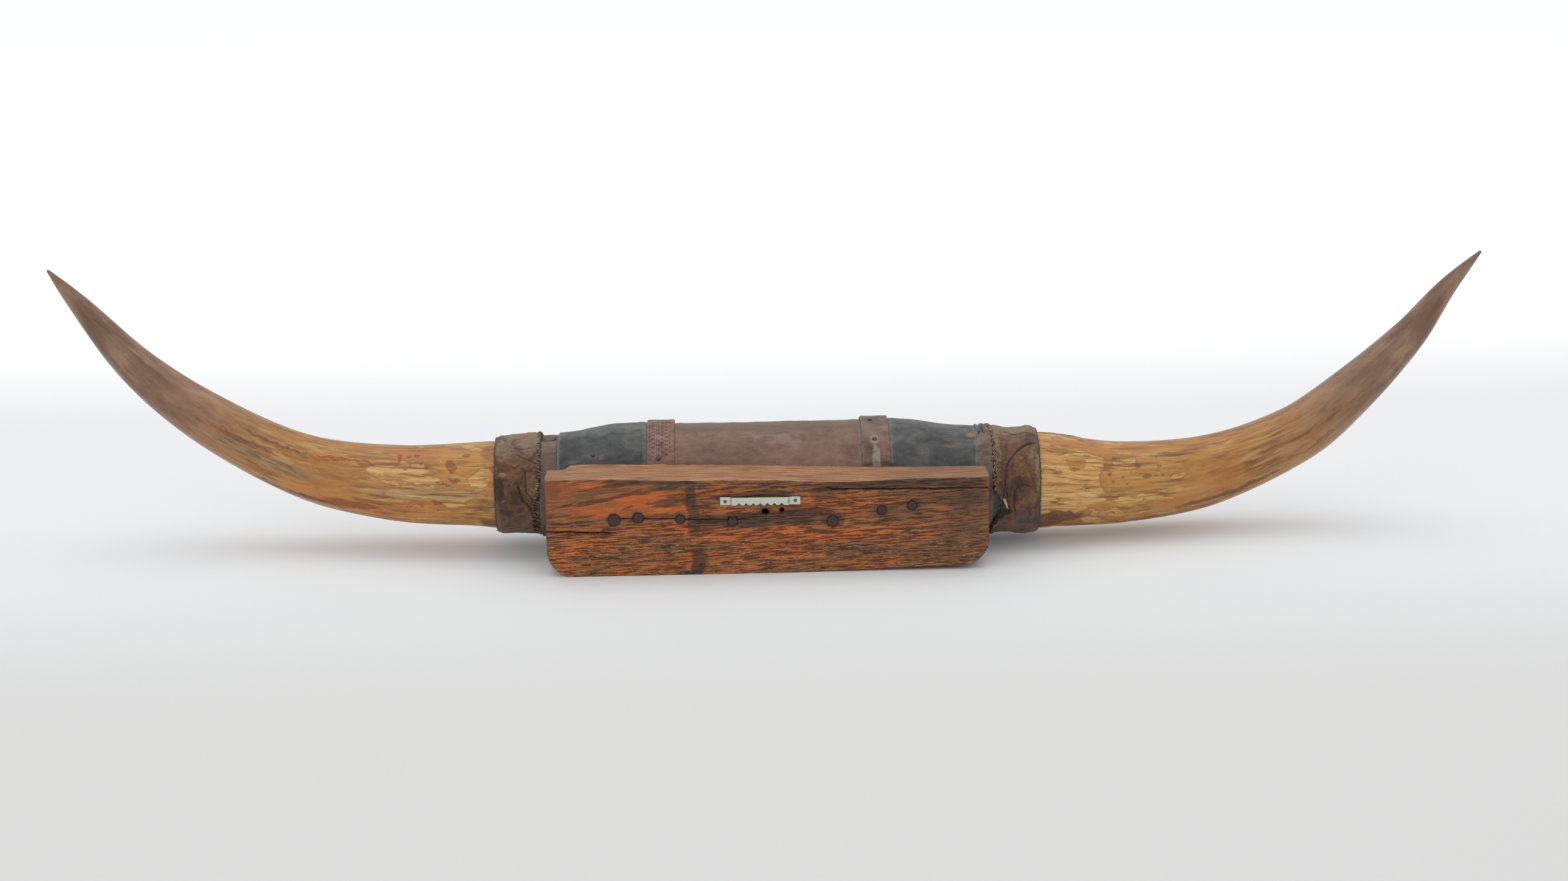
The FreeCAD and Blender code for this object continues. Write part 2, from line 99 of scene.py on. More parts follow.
def make_floor():
    bm = bmesh.new()
    bmesh.ops.create_grid(bm, x_segments=1, y_segments=1, size=FLOOR_SIZE)
    mesh = bpy.data.meshes.new("floor")
    bm.to_mesh(mesh)
    bm.free()
    floor = bpy.data.objects.new("floor", mesh)
    bpy.context.scene.collection.objects.link(floor)
    paper = bpy.data.materials.new("floor_paper")
    paper.use_nodes = True
    tree = paper.node_tree
    shader = tree.nodes["Principled BSDF"]
    shader.inputs["Roughness"].default_value = 0.7
    shader.inputs["Specular IOR Level"].default_value = 0.2
    place = tree.nodes.new("ShaderNodeTexCoord")
    split = tree.nodes.new("ShaderNodeSeparateXYZ")
    tree.links.new(place.outputs["Object"], split.inputs[0])

    def fade(start, end, low, high):
        node = tree.nodes.new("ShaderNodeMapRange")
        node.interpolation_type = "SMOOTHSTEP"
        tree.links.new(split.outputs[1], node.inputs["Value"])
        for name, value in (("From Min", start), ("From Max", end), ("To Min", low), ("To Max", high)):
            node.inputs[name].default_value = value
        return node.outputs["Result"]

    shades = tree.nodes.new("ShaderNodeMix")
    shades.data_type = "RGBA"
    shades.inputs[6].default_value, shades.inputs[7].default_value = FLOOR_SHADED_NEAR, FLOOR_LIT_FAR
    tree.links.new(fade(*FLOOR_SHADE_FADE, 0.0, 1.0), shades.inputs[0])
    tree.links.new(shades.outputs[2], shader.inputs["Base Color"])
    shader.inputs["Emission Color"].default_value = (1, 1, 1, 1)
    tree.links.new(fade(*GLOW_FADE, 0.0, FLOOR_GLOW), shader.inputs["Emission Strength"])
    mesh.materials.append(paper)


def area_light(name, place, target, size, power, colour=(1, 1, 1)):
    data = bpy.data.lights.new(name, "AREA")
    data.shape = "RECTANGLE"
    data.size, data.size_y = size
    data.energy = power
    data.color = colour
    light = bpy.data.objects.new(name, data)
    light.location = place
    light.rotation_euler = (Vector(target) - Vector(place)).to_track_quat("-Z", "Y").to_euler()
    bpy.context.scene.collection.objects.link(light)


make_floor()
world = bpy.data.worlds.new("studio")
bpy.context.scene.world = world
world.use_nodes = True
world.node_tree.nodes["Background"].inputs["Color"].default_value = (0.98, 0.99, 1.0, 1)
world.node_tree.nodes["Background"].inputs["Strength"].default_value = SURROUND_LIGHT
area_light("overhead", (0.1, 0.5, 2.4), (0, 0.1, 0), (3.2, 1.8), 14)
area_light("front", (-0.9, -2.6, 1.9), (0, 0, 0.1), (2.4, 1.6), 8)

# %% [markdown]
# ## Helpers for shapes
#
# Everything is drawn in millimetres, and `finish_piece` brings it to metres at the end. Most of this object
# is made of tubes: horns, leather, straps and cuffs. So one helper makes a plain tube with small square
# faces, and each piece then moves the tube's points to their place. The surface's wrinkles come from smooth
# noise, and marks that belong to one spot are soft ovals in a short list, so a mark can be moved or taken
# away by itself.

# %% Smooth lines, noise and marks
MM = 0.001


def ease(x, low, high):
    """0 below low, 1 above high, smooth between."""
    t = min(max((x - low) / (high - low), 0.0), 1.0)
    return t * t * (3 - 2 * t)


def between(points, x):
    """The value at x of a smooth line through (x, value) points, level beyond its ends."""
    if x <= points[0][0] or x >= points[-1][0]:
        return points[0][1] if x <= points[0][0] else points[-1][1]
    i = max(k for k in range(len(points) - 1) if points[k][0] <= x)

    def slope(k):
        (xa, va), (xb, vb) = points[max(k - 1, 0)], points[min(k + 1, len(points) - 1)]
        return (vb - va) / (xb - xa)

    (x0, v0), (x1, v1) = points[i], points[i + 1]
    w = x1 - x0
    t = (x - x0) / w
    a, b = 2 * t**3 - 3 * t**2 + 1, t**3 - 2 * t**2 + t
    c, d = 3 * t**2 - 2 * t**3, t**3 - t**2
    return a * v0 + b * w * slope(i) + c * v1 + d * w * slope(i + 1)


def lumps(place, size, seed=0, octaves=3):
    """Smooth noise, about -1 to 1, whose lumps are size millimetres across (one size, or three)."""
    sx, sy, sz = size if hasattr(size, "__len__") else (size, size, size)
    x, y, z = place
    shifted = Vector((x / sx + seed * 7.31, y / sy - seed * 3.77, z / sz + seed * 5.13))
    return noise.fractal(shifted, 1.0, 2.0, octaves)


def marks(a, b, ovals, power=2):
    """How much of the soft ovals (a, b, half width, half height, strength) there is at the place a, b.

    A power of 2 gives ovals, and a higher one squarer patches."""
    total = 0.0
    for pa, pb, wide, high, strength in ovals:
        away = (abs((a - pa) / wide) ** power + abs((b - pb) / high) ** power) ** (1 / power)
        if away < 1.35:
            total += strength * (1 - ease(away, 0.65, 1.35))
    return total


def off_line(a, b, points):
    """How far the place a, b is from a bent line, and which side of it: above 0 is its left."""
    best = (1e9, 1)
    for (a0, b0), (a1, b1) in zip(points, points[1:]):
        da, db = a1 - a0, b1 - b0
        t = min(max(((a - a0) * da + (b - b0) * db) / (da * da + db * db), 0.0), 1.0)
        away = math.hypot(a - a0 - da * t, b - b0 - db * t)
        if away < best[0]:
            best = (away, 1 if da * (b - b0) - db * (a - a0) > 0 else -1)
    return best


print("ease(0.5, 0, 1) =", ease(0.5, 0, 1))

# %% Tubes and finished pieces
def straight_tube(rings, around):
    """An open tube of radius 1 from z = -0.5 to 0.5."""
    bm = bmesh.new()
    bmesh.ops.create_cone(bm, cap_ends=False, segments=around, radius1=1, radius2=1, depth=1)
    lengthwise = [e for e in bm.edges if abs(e.verts[0].co.z - e.verts[1].co.z) > 0.5]
    bmesh.ops.subdivide_edges(bm, edges=lengthwise, cuts=rings - 1, use_grid_fill=True)
    return bm


def point_outwards(bm, outside):
    """Turns every face over if the first one doesn't point the way outside(middle) does."""
    bm.normal_update()
    bm.faces.ensure_lookup_table()
    face = bm.faces[len(bm.faces) // 2]
    if face.normal.dot(outside(face.calc_center_median())) < 0:
        bmesh.ops.reverse_faces(bm, faces=bm.faces)


def finish_piece(bm, name, finish, replaces=(), wall=0.0):
    """Makes a piece of a bmesh drawn in millimetres. A wall in millimetres grows inwards from a skin."""
    bmesh.ops.scale(bm, vec=(MM, MM, MM), verts=bm.verts)
    mesh = bpy.data.meshes.new(name)
    bm.to_mesh(mesh)
    bm.free()
    mesh.shade_smooth()
    mesh.materials.append(finish)
    piece = bpy.data.objects.new(name, mesh)
    bpy.context.scene.collection.objects.link(piece)
    if wall:
        solid = piece.modifiers.new("wall", "SOLIDIFY")
        solid.thickness = wall * MM
        solid.offset = -1
    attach(piece, "root")
    if replaces:
        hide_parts(*replaces)
    print(f"{name}: {len(mesh.polygons)} faces, {[round(d * 1000) for d in piece.dimensions]} mm")
    return piece


# %% [markdown]
# ## Helpers for finishes
#
# A finish is a node tree, and writing every node out makes long code that hides the idea. `Finish` adds one
# node per call. Its noise takes the size of its grain in millimetres, along X, Y and Z, which is done with a
# Mapping node of the Texture kind: that kind turns first and then divides by the size, so grain can run at a
# slant. The pattern reads Object coordinates, or an attribute that a piece stores while its shape is made.

# %% Finish
def tone(r, g, b):
    """A colour given as on a paint chart, from 0 to 255, in the linear values that a shader uses."""
    def linear(c):
        c /= 255
        return c / 12.92 if c <= 0.04045 else ((c + 0.055) / 1.055) ** 2.4

    return (linear(r), linear(g), linear(b), 1.0)


class Finish:
    """A material being put together."""

    def __init__(self, name):
        self.material = bpy.data.materials.new(name)
        self.material.use_nodes = True
        self.nodes = self.material.node_tree.nodes
        self.links = self.material.node_tree.links
        self.shader = self.nodes["Principled BSDF"]

    def add(self, kind, **settings):
        node = self.nodes.new("ShaderNode" + kind)
        for key, value in settings.items():
            setattr(node, key, value)
        return node

    def feed(self, socket, value):
        if isinstance(value, bpy.types.NodeSocket):
            self.links.new(value, socket)
        else:
            socket.default_value = value

    def stored(self, name):
        """One number that the piece stores at each point."""
        return self.add("Attribute", attribute_name=name).outputs["Fac"]

    def place(self, size, slant=0.0, source=None, seed=0):
        """Coordinates in which one step is size millimetres, turned by slant degrees about Y."""
        if source:
            vector = self.add("Attribute", attribute_name=source).outputs["Vector"]
        else:
            vector = self.add("TexCoord").outputs["Object"]
        sizes = size if hasattr(size, "__len__") else (size, size, size)
        mapping = self.add("Mapping", vector_type="TEXTURE")
        self.feed(mapping.inputs["Vector"], vector)
        self.feed(mapping.inputs["Scale"], [s * MM for s in sizes])
        self.feed(mapping.inputs["Rotation"], (0, math.radians(-slant), 0))
        self.feed(mapping.inputs["Location"], (seed * 0.37, seed * 0.21, seed * 0.13))
        return mapping.outputs["Vector"]

    def noise(self, size, slant=0.0, source=None, seed=0, detail=3.0, rough=0.5, warp=0.0):
        node = self.add("TexNoise")
        self.feed(node.inputs["Vector"], self.place(size, slant, source, seed))
        self.feed(node.inputs["Scale"], 1.0)
        self.feed(node.inputs["Detail"], detail)
        self.feed(node.inputs["Roughness"], rough)
        self.feed(node.inputs["Distortion"], warp)
        return node.outputs["Fac"]

    def cells(self, size, source=None, seed=0, feature="F1"):
        node = self.add("TexVoronoi", feature=feature)
        self.feed(node.inputs["Vector"], self.place(size, 0, source, seed))
        self.feed(node.inputs["Scale"], 1.0)
        return node.outputs["Distance"]

    def sum(self, a, b, kind="ADD"):
        node = self.add("Math", operation=kind)
        self.feed(node.inputs[0], a)
        self.feed(node.inputs[1], b)
        return node.outputs[0]

    def times(self, a, b):
        return self.sum(a, b, "MULTIPLY")

    def band(self, value, low, high, to_low=0.0, to_high=1.0):
        """Turns value from low to high into to_low to to_high, smooth and level beyond."""
        node = self.add("MapRange", interpolation_type="SMOOTHSTEP")
        for socket, x in zip(("Value", "From Min", "From Max", "To Min", "To Max"),
                             (value, low, high, to_low, to_high)):
            self.feed(node.inputs[socket], x)
        return node.outputs["Result"]

    def ramp(self, value, *stops):
        """A colour for each value, from (value, colour) stops."""
        node = self.add("ValToRGB")
        self.feed(node.inputs["Fac"], value)
        elements = node.color_ramp.elements
        while len(elements) < len(stops):
            elements.new(0.5)
        for element, (position, colour) in zip(elements, stops):
            element.position = position
            element.color = colour
        return node.outputs["Color"]

    def mix(self, share, a, b, kind="MIX"):
        node = self.add("Mix", data_type="RGBA", blend_type=kind)
        self.feed(node.inputs[0], share)
        self.feed(node.inputs[6], a)
        self.feed(node.inputs[7], b)
        return node.outputs[2]

    def bump(self, height, depth, after=None):
        """Bumps depth millimetres high, on top of earlier ones."""
        node = self.add("Bump")
        self.feed(node.inputs["Strength"], 1.0)
        self.feed(node.inputs["Distance"], depth * MM)
        self.feed(node.inputs["Height"], height)
        if after is not None:
            self.feed(node.inputs["Normal"], after)
        return node.outputs["Normal"]

    def done(self, colour, roughness, normal, **sockets):
        self.feed(self.shader.inputs["Base Color"], colour)
        self.feed(self.shader.inputs["Roughness"], roughness)
        self.feed(self.shader.inputs["Normal"], normal)
        for name, value in sockets.items():
            self.feed(self.shader.inputs[name.replace("_", " ")], value)
        print("finish", self.material.name, "has", len(self.nodes), "nodes")
        return self.material


print("mid grey is", [round(c, 3) for c in tone(128, 128, 128)])

# %% [markdown]
# ## The horns
#
# A steer horn is a hollow cone of keratin that curves out and up. The old outer skin near the base has
# flaked, and shows paler fibres under it, with streaks that run lengthwise; the tip is smoother and darker.
# The horn could be a curve with a bevel, but a curve can't carry the flakes. So the straight tube is bent
# along the horn's centre line, and its points also store their place on the unbent horn: the streaks follow
# the bend because the finish reads that place. A second tube makes the hollow and is bridged to the first at
# the base.

# %% Horn sizes
ROLL_Y, ROLL_Z = 79.0, 63.0  # the roll's axis
HORN_SHARES = (0, 0.05, 0.11, 0.2, 0.33, 0.47, 0.61, 0.75, 0.87, 0.95, 1)
HORN_RADII = {
    "left": (45.8, 43.6, 41.2, 38.7, 34.8, 29.4, 25.7, 20.0, 13.3, 6.8, 1.2),
    "right": (49.0, 48.4, 45.2, 41.0, 36.8, 30.9, 26.6, 20.0, 12.6, 6.2, 1.2),
}
HORN_LINE = {  # out along X, forward of and above the roll's axis
    "left": ((232.5, 0, 2.5), (250, 0, 2.5), (268, 0, 2.5), (365, 10, 3.1), (454.5, 24, 17.2),
             (544, 34, 60.6), (616, 35, 117.4), (673, 30, 188.3), (697.7, 24, 221.4)),
    "right": ((232.5, 0, -2.5), (250, 0, -3.1), (271, 0, -4.2), (353, 10, -10.4), (442.5, 24, -3.7),
              (532, 34, 29.6), (586, 36, 71.6), (640, 33, 127.3), (676, 28, 177.8), (707.4, 23, 214.9)),
}
SIDE = {"left": -1, "right": 1}
CUFF_REACH = 33.0  # millimetres of horn hidden by the cuff


# %% The horn's bent line
class HornLine:
    """A horn's centre line, cut into even steps, each with its middle, and the ways to the wall and up."""

    def __init__(self, which, steps):
        side = SIDE[which]
        points = [Vector((side * x, ROLL_Y + y, ROLL_Z + z)) for x, y, z in HORN_LINE[which]]
        chords = [0.0]
        for a, b in zip(points, points[1:]):
            chords.append(chords[-1] + (b - a).length)
        tracks = [[(c, p[k]) for c, p in zip(chords, points)] for k in range(3)]
        fine = [Vector([between(t, chords[-1] * i / 1500) for t in tracks]) for i in range(1501)]
        gone = [0.0]
        for a, b in zip(fine, fine[1:]):
            gone.append(gone[-1] + (b - a).length)
        self.length, self.middles, k = gone[-1], [], 0
        for i in range(steps + 1):
            want = self.length * i / steps
            while k < len(gone) - 2 and gone[k + 1] < want:
                k += 1
            self.middles.append(fine[k].lerp(fine[k + 1], (want - gone[k]) / (gone[k + 1] - gone[k])))
        self.ways, wall = [], Vector((0, -1, 0))
        for i in range(steps + 1):
            ahead = (self.middles[min(i + 1, steps)] - self.middles[max(i - 1, 0)]).normalized()
            wall = (wall - ahead * wall.dot(ahead)).normalized()
            self.ways.append((wall.copy(), wall.cross(ahead) * side))
        self.steps = steps
        self.radii = list(zip(HORN_SHARES, HORN_RADII[which]))

    def point(self, step, angle, radius):
        wall, up = self.ways[step]
        return self.middles[step] + (wall * math.cos(angle) + up * math.sin(angle)) * radius


# %% [markdown]
# The marks are listed by their distance from the base in millimetres and by their angle in degrees, up from
# the wall side. `flake` is where the outer skin is gone (a minus sign keeps an island of skin), `amber` is
# clear orange skin, `spot` is a dark fleck, `dusk` is a burnt brown stain and `grey` is a dull greenish band.
# The left horn's first four `dusk` marks are painted shade instead: a dark ring just outside the cuff's edge.

# %% Marks on the horns
C = CUFF_REACH
HORN_MARKS = {
    "right": {
        "flake": ((C + 36, 22, 24, 30, 0.9), (C + 32, 40, 9, 9, -1.7), (C + 90, 19, 34, 20, -1.1),
                  (C + 86, -9, 13, 5, 1.2), (C + 57, -6, 7, 6, 1.0), (C + 128, -7, 24, 8, 1.0),
                  (C + 136, 15, 10, 10, 1.3), (C + 5, 0, 7, 360, 0.6), (C + 25, -18, 22, 9, 0.5)),
        "amber": ((C + 69, -7, 8, 4, 1.0), (C + 95, 18, 38, 20, 0.5), (C + 70, 70, 70, 12, 0.75),
                  (C + 20, 58, 14, 8, 0.4),
                  (C + 150, 45, 40, 8, 0.4)),
        "spot": ((C + 43, 50, 5, 3, 0.8), (C + 73, 49, 3.5, 3, 1), (C + 66, 26, 2.6, 3, 1),
                 (C + 70, 16, 2.2, 2.5, 1), (C + 80, 22, 1.7, 2.4, 0.9), (C + 84, 13, 1.9, 1.8, 1),
                 (C + 97, 38, 3, 4.5, 0.9), (C + 105, 22, 4.6, 3, 1.1), (C + 114, 22, 2.5, 2.5, 0.8),
                 (C + 121, 22, 3.2, 2, 0.8), (C + 119, 36, 3.2, 2.5, 0.9), (C + 116, 29, 3.2, 1.4, 0.9),
                 (C + 118, 52, 2.2, 2, 0.8), (C + 42, 8, 5, 3, 0.7), (C + 58, 52, 3, 2, 0.6),
                 (C + 90, 29, 1.4, 1.6, 0.8), (C + 40, 33, 3, 3, 0.5)),
        "dusk": ((C + 20, -36, 24, 12, 1.2), (C + 8, -50, 16, 14, 1.1), (C + 190, -34, 60, 6, 0.9),
                 (C + 260, -20, 60, 5, 0.6), (C + 170, 30, 50, 4, 0.5), (C + 60, -57, 60, 3, 0.9),
                 (C + 140, -50, 50, 3, 0.8), (C + 22, 101, 22, 2, 1.2), (C + 31, 41, 9, 1.5, 0.5),
                 (C + 75, -31, 40, 1.5, 0.6), (C + 120, -24, 30, 1.2, 0.5)),
        "grey": ((C + 10, 30, 10, 60, 0.3), (C + 230, 30, 60, 25, 0.35)),
    },
    "left": {
        "flake": ((C + 105, 33, 40, 9, 0.7), (C + 63, -27, 7, 3.5, 1.3), (C + 12, 25, 12, 14, 0.8),
                  (C + 85, 22, 30, 5, 0.8), (C + 32, 47, 22, 20, -1.3), (C + 80, 66, 40, 12, -1.0),
                  (C + 77, -14, 27, 6, -1.3), (C + 140, -5, 30, 8, 0.5), (C + 60, 0, 50, 10, 0.4)),
        "amber": ((C + 30, 48, 24, 19, 0.55), (C + 44, 30, 16, 3, 0.5), (C + 82, 68, 42, 10, 0.8),
                  (C + 93, 53, 3.2, 8, 1.0),
                  (C + 84, 57, 3, 5, 0.8), (C + 76, 58, 3, 5, 0.8), (C + 39, 40, 4, 8, 0.7),
                  (C + 77, -14, 26, 5.5, 0.9), (C + 53, -10, 4, 3, 1.6), (C + 255, 20, 36, 3.5, 1.5),
                  (C + 155, 45, 34, 5, 1.0), (C + 165, -27, 50, 13, 0.75), (C + 90, -34, 70, 13, 0.75),
                  (C + 125, 52, 6, 7, 0.6)),
        "spot": ((C + 25, 58, 4.2, 3.6, 0.9), (C + 59, 57, 2.7, 3, 0.5), (C + 70, 46, 2.2, 2.6, 0.8),
                 (C + 86, 37, 2.7, 2.2, 0.8), (C + 120, 41, 3.4, 2.2, 0.9), (C + 53, -24, 2.2, 2.6, 0.8),
                 (C + 52, 18, 1.6, 1.6, 0.9), (C + 108, -22, 5, 1.6, 0.7), (C + 130, 55, 5, 1.6, 0.6)),
        # painted shade: the first four dusk marks darken the horn just outside the cuff's edge
        "dusk": ((C + 4, 62, 8, 14, 0.6), (C + 3, 22, 5, 9, 0.5), (C + 5, -15, 9, 12, 0.6),
                 (C + 4, -48, 12, 10, 0.9), (C + 46, 15, 7, 1.6, 1.0), (C + 35, 21, 6, 3, 0.8),
                 (C + 172, -42, 26, 5, 1.4), (C + 216, -48, 22, 4, 1.3), (C + 120, 24, 50, 6, 0.5),
                 (C + 210, 38, 60, 6, 0.55), (C + 70, -50, 60, 2, 0.5),
                 (C + 290, 30, 40, 5, 0.5), (C + 240, 42, 50, 3, 0.5)),
        "grey": ((C + 65, 0, 66, 11, 0.8), (C + 235, 0, 50, 12, 1.0), (C + 190, 8, 30, 8, 0.6),
                 (C + 300, -5, 40, 20, 0.5)),
    },
}


def horn_relief(s, angle, radius, which, kinds):
    """Stores the marks at one point, and gives how far its surface stands off the plain cone."""
    degrees = math.degrees(angle)
    about = (s, radius * math.cos(angle), radius * math.sin(angle))
    listed = HORN_MARKS[which]
    wander = 3.0 * lumps(about, 9, 1, 2)
    turn = degrees + math.degrees(wander / max(radius, 6))
    old = 1 - ease(s, 110, 235)
    flake = 0.75 * lumps(about, (30, 13, 13), 2) + marks(s + wander, turn, listed["flake"])
    flake = flake - 0.12 - 2.0 * (1 - old)
    scatter = lumps(about, (9, 5, 5), 5, 2) - 0.62 - 1.5 * (1 - old)
    kinds["flake"] = flake
    kinds["spot"] = max(marks(s + wander * 0.3, degrees, listed["spot"]), ease(scatter, -0.1, 0.25) * 0.8)
    for kind in ("amber", "dusk", "grey"):
        own = lumps(about, (45, 16, 16), 7 + len(kind), 2) - 0.25
        kinds[kind] = marks(s + wander, turn, listed[kind]) + 0.6 * max(0.0, own) * (0.25 + 0.75 * old)
    ridges = 0.22 * lumps(about, (60, 5, 5), 3, 2) + 0.5 * lumps(about, (70, 30, 30), 4, 2)
    step = -0.3 * ease(flake, -0.08, 0.08)
    sliver = 1.0 * marks(s, degrees, ((C + 22, 101, 22, 2.0, 1.0),)) if which == "right" else 0.0
    fade = ease(radius, 2, 14)
    return (ridges * (0.35 + 0.65 * old) + step + sliver) * fade


# %% Make the horns
HORN_FACE = 1.5  # millimetres
HOLLOW_SHARE = 0.68


def make_horn(which, finish):
    plain = HornLine(which, 10)
    steps = round(plain.length / HORN_FACE)
    line = HornLine(which, steps)
    around = 184
    bm = straight_tube(steps, around)
    unbent = bm.verts.layers.float_vector.new("horn_place")
    names = ("flake", "amber", "spot", "dusk", "grey", "share")
    stored = {name: bm.verts.layers.float.new(name) for name in names}
    for v in bm.verts:
        step, angle = round((v.co.z + 0.5) * steps), math.atan2(v.co.y, v.co.x)
        share = step / steps
        radius = between(line.radii, share)
        kinds = {"share": share}
        lift = horn_relief(share * line.length, angle, radius, which, kinds)
        if step == steps:
            radius, lift = 0.0, 0.0
        v.co = line.point(step, angle, radius + lift)
        v[unbent] = Vector((share * line.length, radius * math.cos(angle), radius * math.sin(angle))) * MM
        for name, layer in stored.items():
            v[layer] = kinds[name]
    bmesh.ops.remove_doubles(bm, verts=[v for v in bm.verts if v[stored["share"]] > 0.9999], dist=0.05)
    point_outwards(bm, lambda p: p - min(line.middles, key=lambda m: (m - p).length))
    rim = [e for e in bm.edges if e.is_boundary]

    inner_steps = 24
    inner = straight_tube(inner_steps, around)
    for v in inner.verts:
        share, angle = (v.co.z + 0.5) * HOLLOW_SHARE, math.atan2(v.co.y, v.co.x)
        radius = between(line.radii, share) * (0.86 - 0.7 * share)
        v.co = line.point(round(share * steps), angle, radius)
    point_outwards(inner, lambda p: min(line.middles, key=lambda m: (m - p).length) - p)
    hollow = bpy.data.meshes.new("hollow")
    inner.to_mesh(hollow)
    inner.free()
    bm.from_mesh(hollow)
    bpy.data.meshes.remove(hollow)
    fresh = [e for e in bm.edges if e.is_boundary and e not in set(rim)]
    ends = sorted(fresh, key=lambda e: (e.verts[0].co - line.middles[0]).length)
    bmesh.ops.bridge_loops(bm, edges=rim + ends[:around])
    bmesh.ops.holes_fill(bm, edges=[e for e in bm.edges if e.is_boundary])
    print(f"{which} horn is {line.length:.0f} mm along its middle")
    return finish_piece(bm, f"horn_{which}_shell", finish, [f"horn_{which}"])


def horn_finish():
    f = Finish("horn_keratin")
    at = "horn_place"
    long_streak = f.noise((52, 5, 5), source=at, detail=5, rough=0.62, warp=0.35)
    thin_streak = f.noise((58, 3.0, 3.0), source=at, seed=6, detail=4, rough=0.6, warp=0.5)
    fibre = f.noise((14, 0.7, 0.7), source=at, seed=1, detail=4, rough=0.65)
    cloud = f.noise((40, 20, 20), source=at, seed=2, detail=3)
    crumbs = f.noise(2.4, source=at, seed=3, detail=4, rough=0.65)
    ragged = f.sum(f.times(f.sum(crumbs, -0.5), 0.32), f.times(f.sum(thin_streak, -0.5), 0.3))
    ragged = f.sum(ragged, f.times(f.sum(fibre, -0.5), 0.12))

    skin = f.ramp(long_streak, (0.30, tone(116, 74, 40)), (0.41, tone(160, 108, 54)),
                  (0.53, tone(192, 140, 72)), (0.70, tone(210, 164, 98)))
    skin = f.mix(f.band(cloud, 0.42, 0.58), skin, f.mix(0.65, skin, tone(176, 114, 50)))
    bare = f.ramp(thin_streak, (0.34, tone(168, 116, 62)), (0.5, tone(208, 158, 92)),
                  (0.66, tone(228, 188, 126)))
    gone = f.band(f.sum(f.stored("flake"), ragged), -0.03, 0.05)
    edge = f.times(f.band(f.sum(f.stored("flake"), ragged), -0.22, -0.05), f.sum(1.0, gone, "SUBTRACT"))
    colour = f.mix(f.times(gone, 0.85), skin, bare)
    colour = f.mix(f.times(edge, 0.22), colour, tone(124, 78, 42))

    amber_at = f.sum(f.stored("amber"), ragged)
    amber = f.band(amber_at, 0.15, 0.8)
    colour = f.mix(f.times(amber, 0.72), colour, f.ramp(amber_at, (0.3, tone(206, 160, 82)),
                                                        (0.7, tone(198, 132, 60)),
                                                        (0.95, tone(176, 90, 40)), (1.0, tone(140, 66, 32))))
    grey = f.band(f.sum(f.stored("grey"), f.times(ragged, 1.6)), 0.25, 1.05)
    colour = f.mix(f.times(grey, 0.6), colour, f.ramp(thin_streak, (0.35, tone(112, 92, 66)),
                                                       (0.65, tone(178, 156, 118))))

    age = f.band(f.sum(f.stored("share"), f.times(f.sum(long_streak, -0.5), 0.45)), 0.40, 0.74)
    dark = f.ramp(cloud, (0.36, tone(112, 84, 70)), (0.5, tone(134, 104, 86)), (0.64, tone(156, 126, 103)))
    dark = f.mix(f.band(long_streak, 0.5, 0.36, 0.0, 0.5), dark, tone(100, 70, 54))
    colour = f.mix(f.times(age, 0.92), colour, dark)
    young = f.band(f.stored("share"), 0.75, 0.40, 0.25, 1.0)
    streak = f.times(f.band(f.sum(thin_streak, f.times(f.sum(cloud, -0.5), 0.6)), 0.47, 0.33), young)
    colour = f.mix(f.times(streak, 0.6), colour, tone(112, 66, 34))
    pale = f.times(f.band(thin_streak, 0.58, 0.70), young)
    colour = f.mix(f.times(pale, 0.3), colour, tone(226, 190, 138))
    dusk = f.band(f.sum(f.stored("dusk"), f.times(ragged, 2.6)), 0.2, 1.1)
    colour = f.mix(f.times(dusk, 0.85), colour, f.ramp(crumbs, (0.35, tone(64, 38, 24)),
                                                       (0.65, tone(122, 74, 42))))
    spot = f.band(f.sum(f.stored("spot"), f.times(ragged, 1.5)), 0.35, 0.8)
    colour = f.mix(f.times(spot, 0.6), colour, tone(98, 62, 50))
    lines = f.band(f.noise((70, 1.6, 1.6), source=at, seed=5, detail=2, warp=0.4), 0.62, 0.72)
    colour = f.mix(f.times(f.times(lines, young), 0.5), colour, tone(104, 68, 44))

    normal = f.bump(f.times(fibre, young), 0.3)
    normal = f.bump(gone, -0.25, normal)
    normal = f.bump(crumbs, 0.18, normal)
    roughness = f.band(f.sum(gone, f.times(f.sum(crumbs, -0.5), 0.5)), 0.0, 1.0, 0.34, 0.58)
    return f.done(colour, roughness, normal, Specular_IOR_Level=0.5)


horn_keratin = horn_finish()
for which in ("left", "right"):
    make_horn(which, horn_keratin)
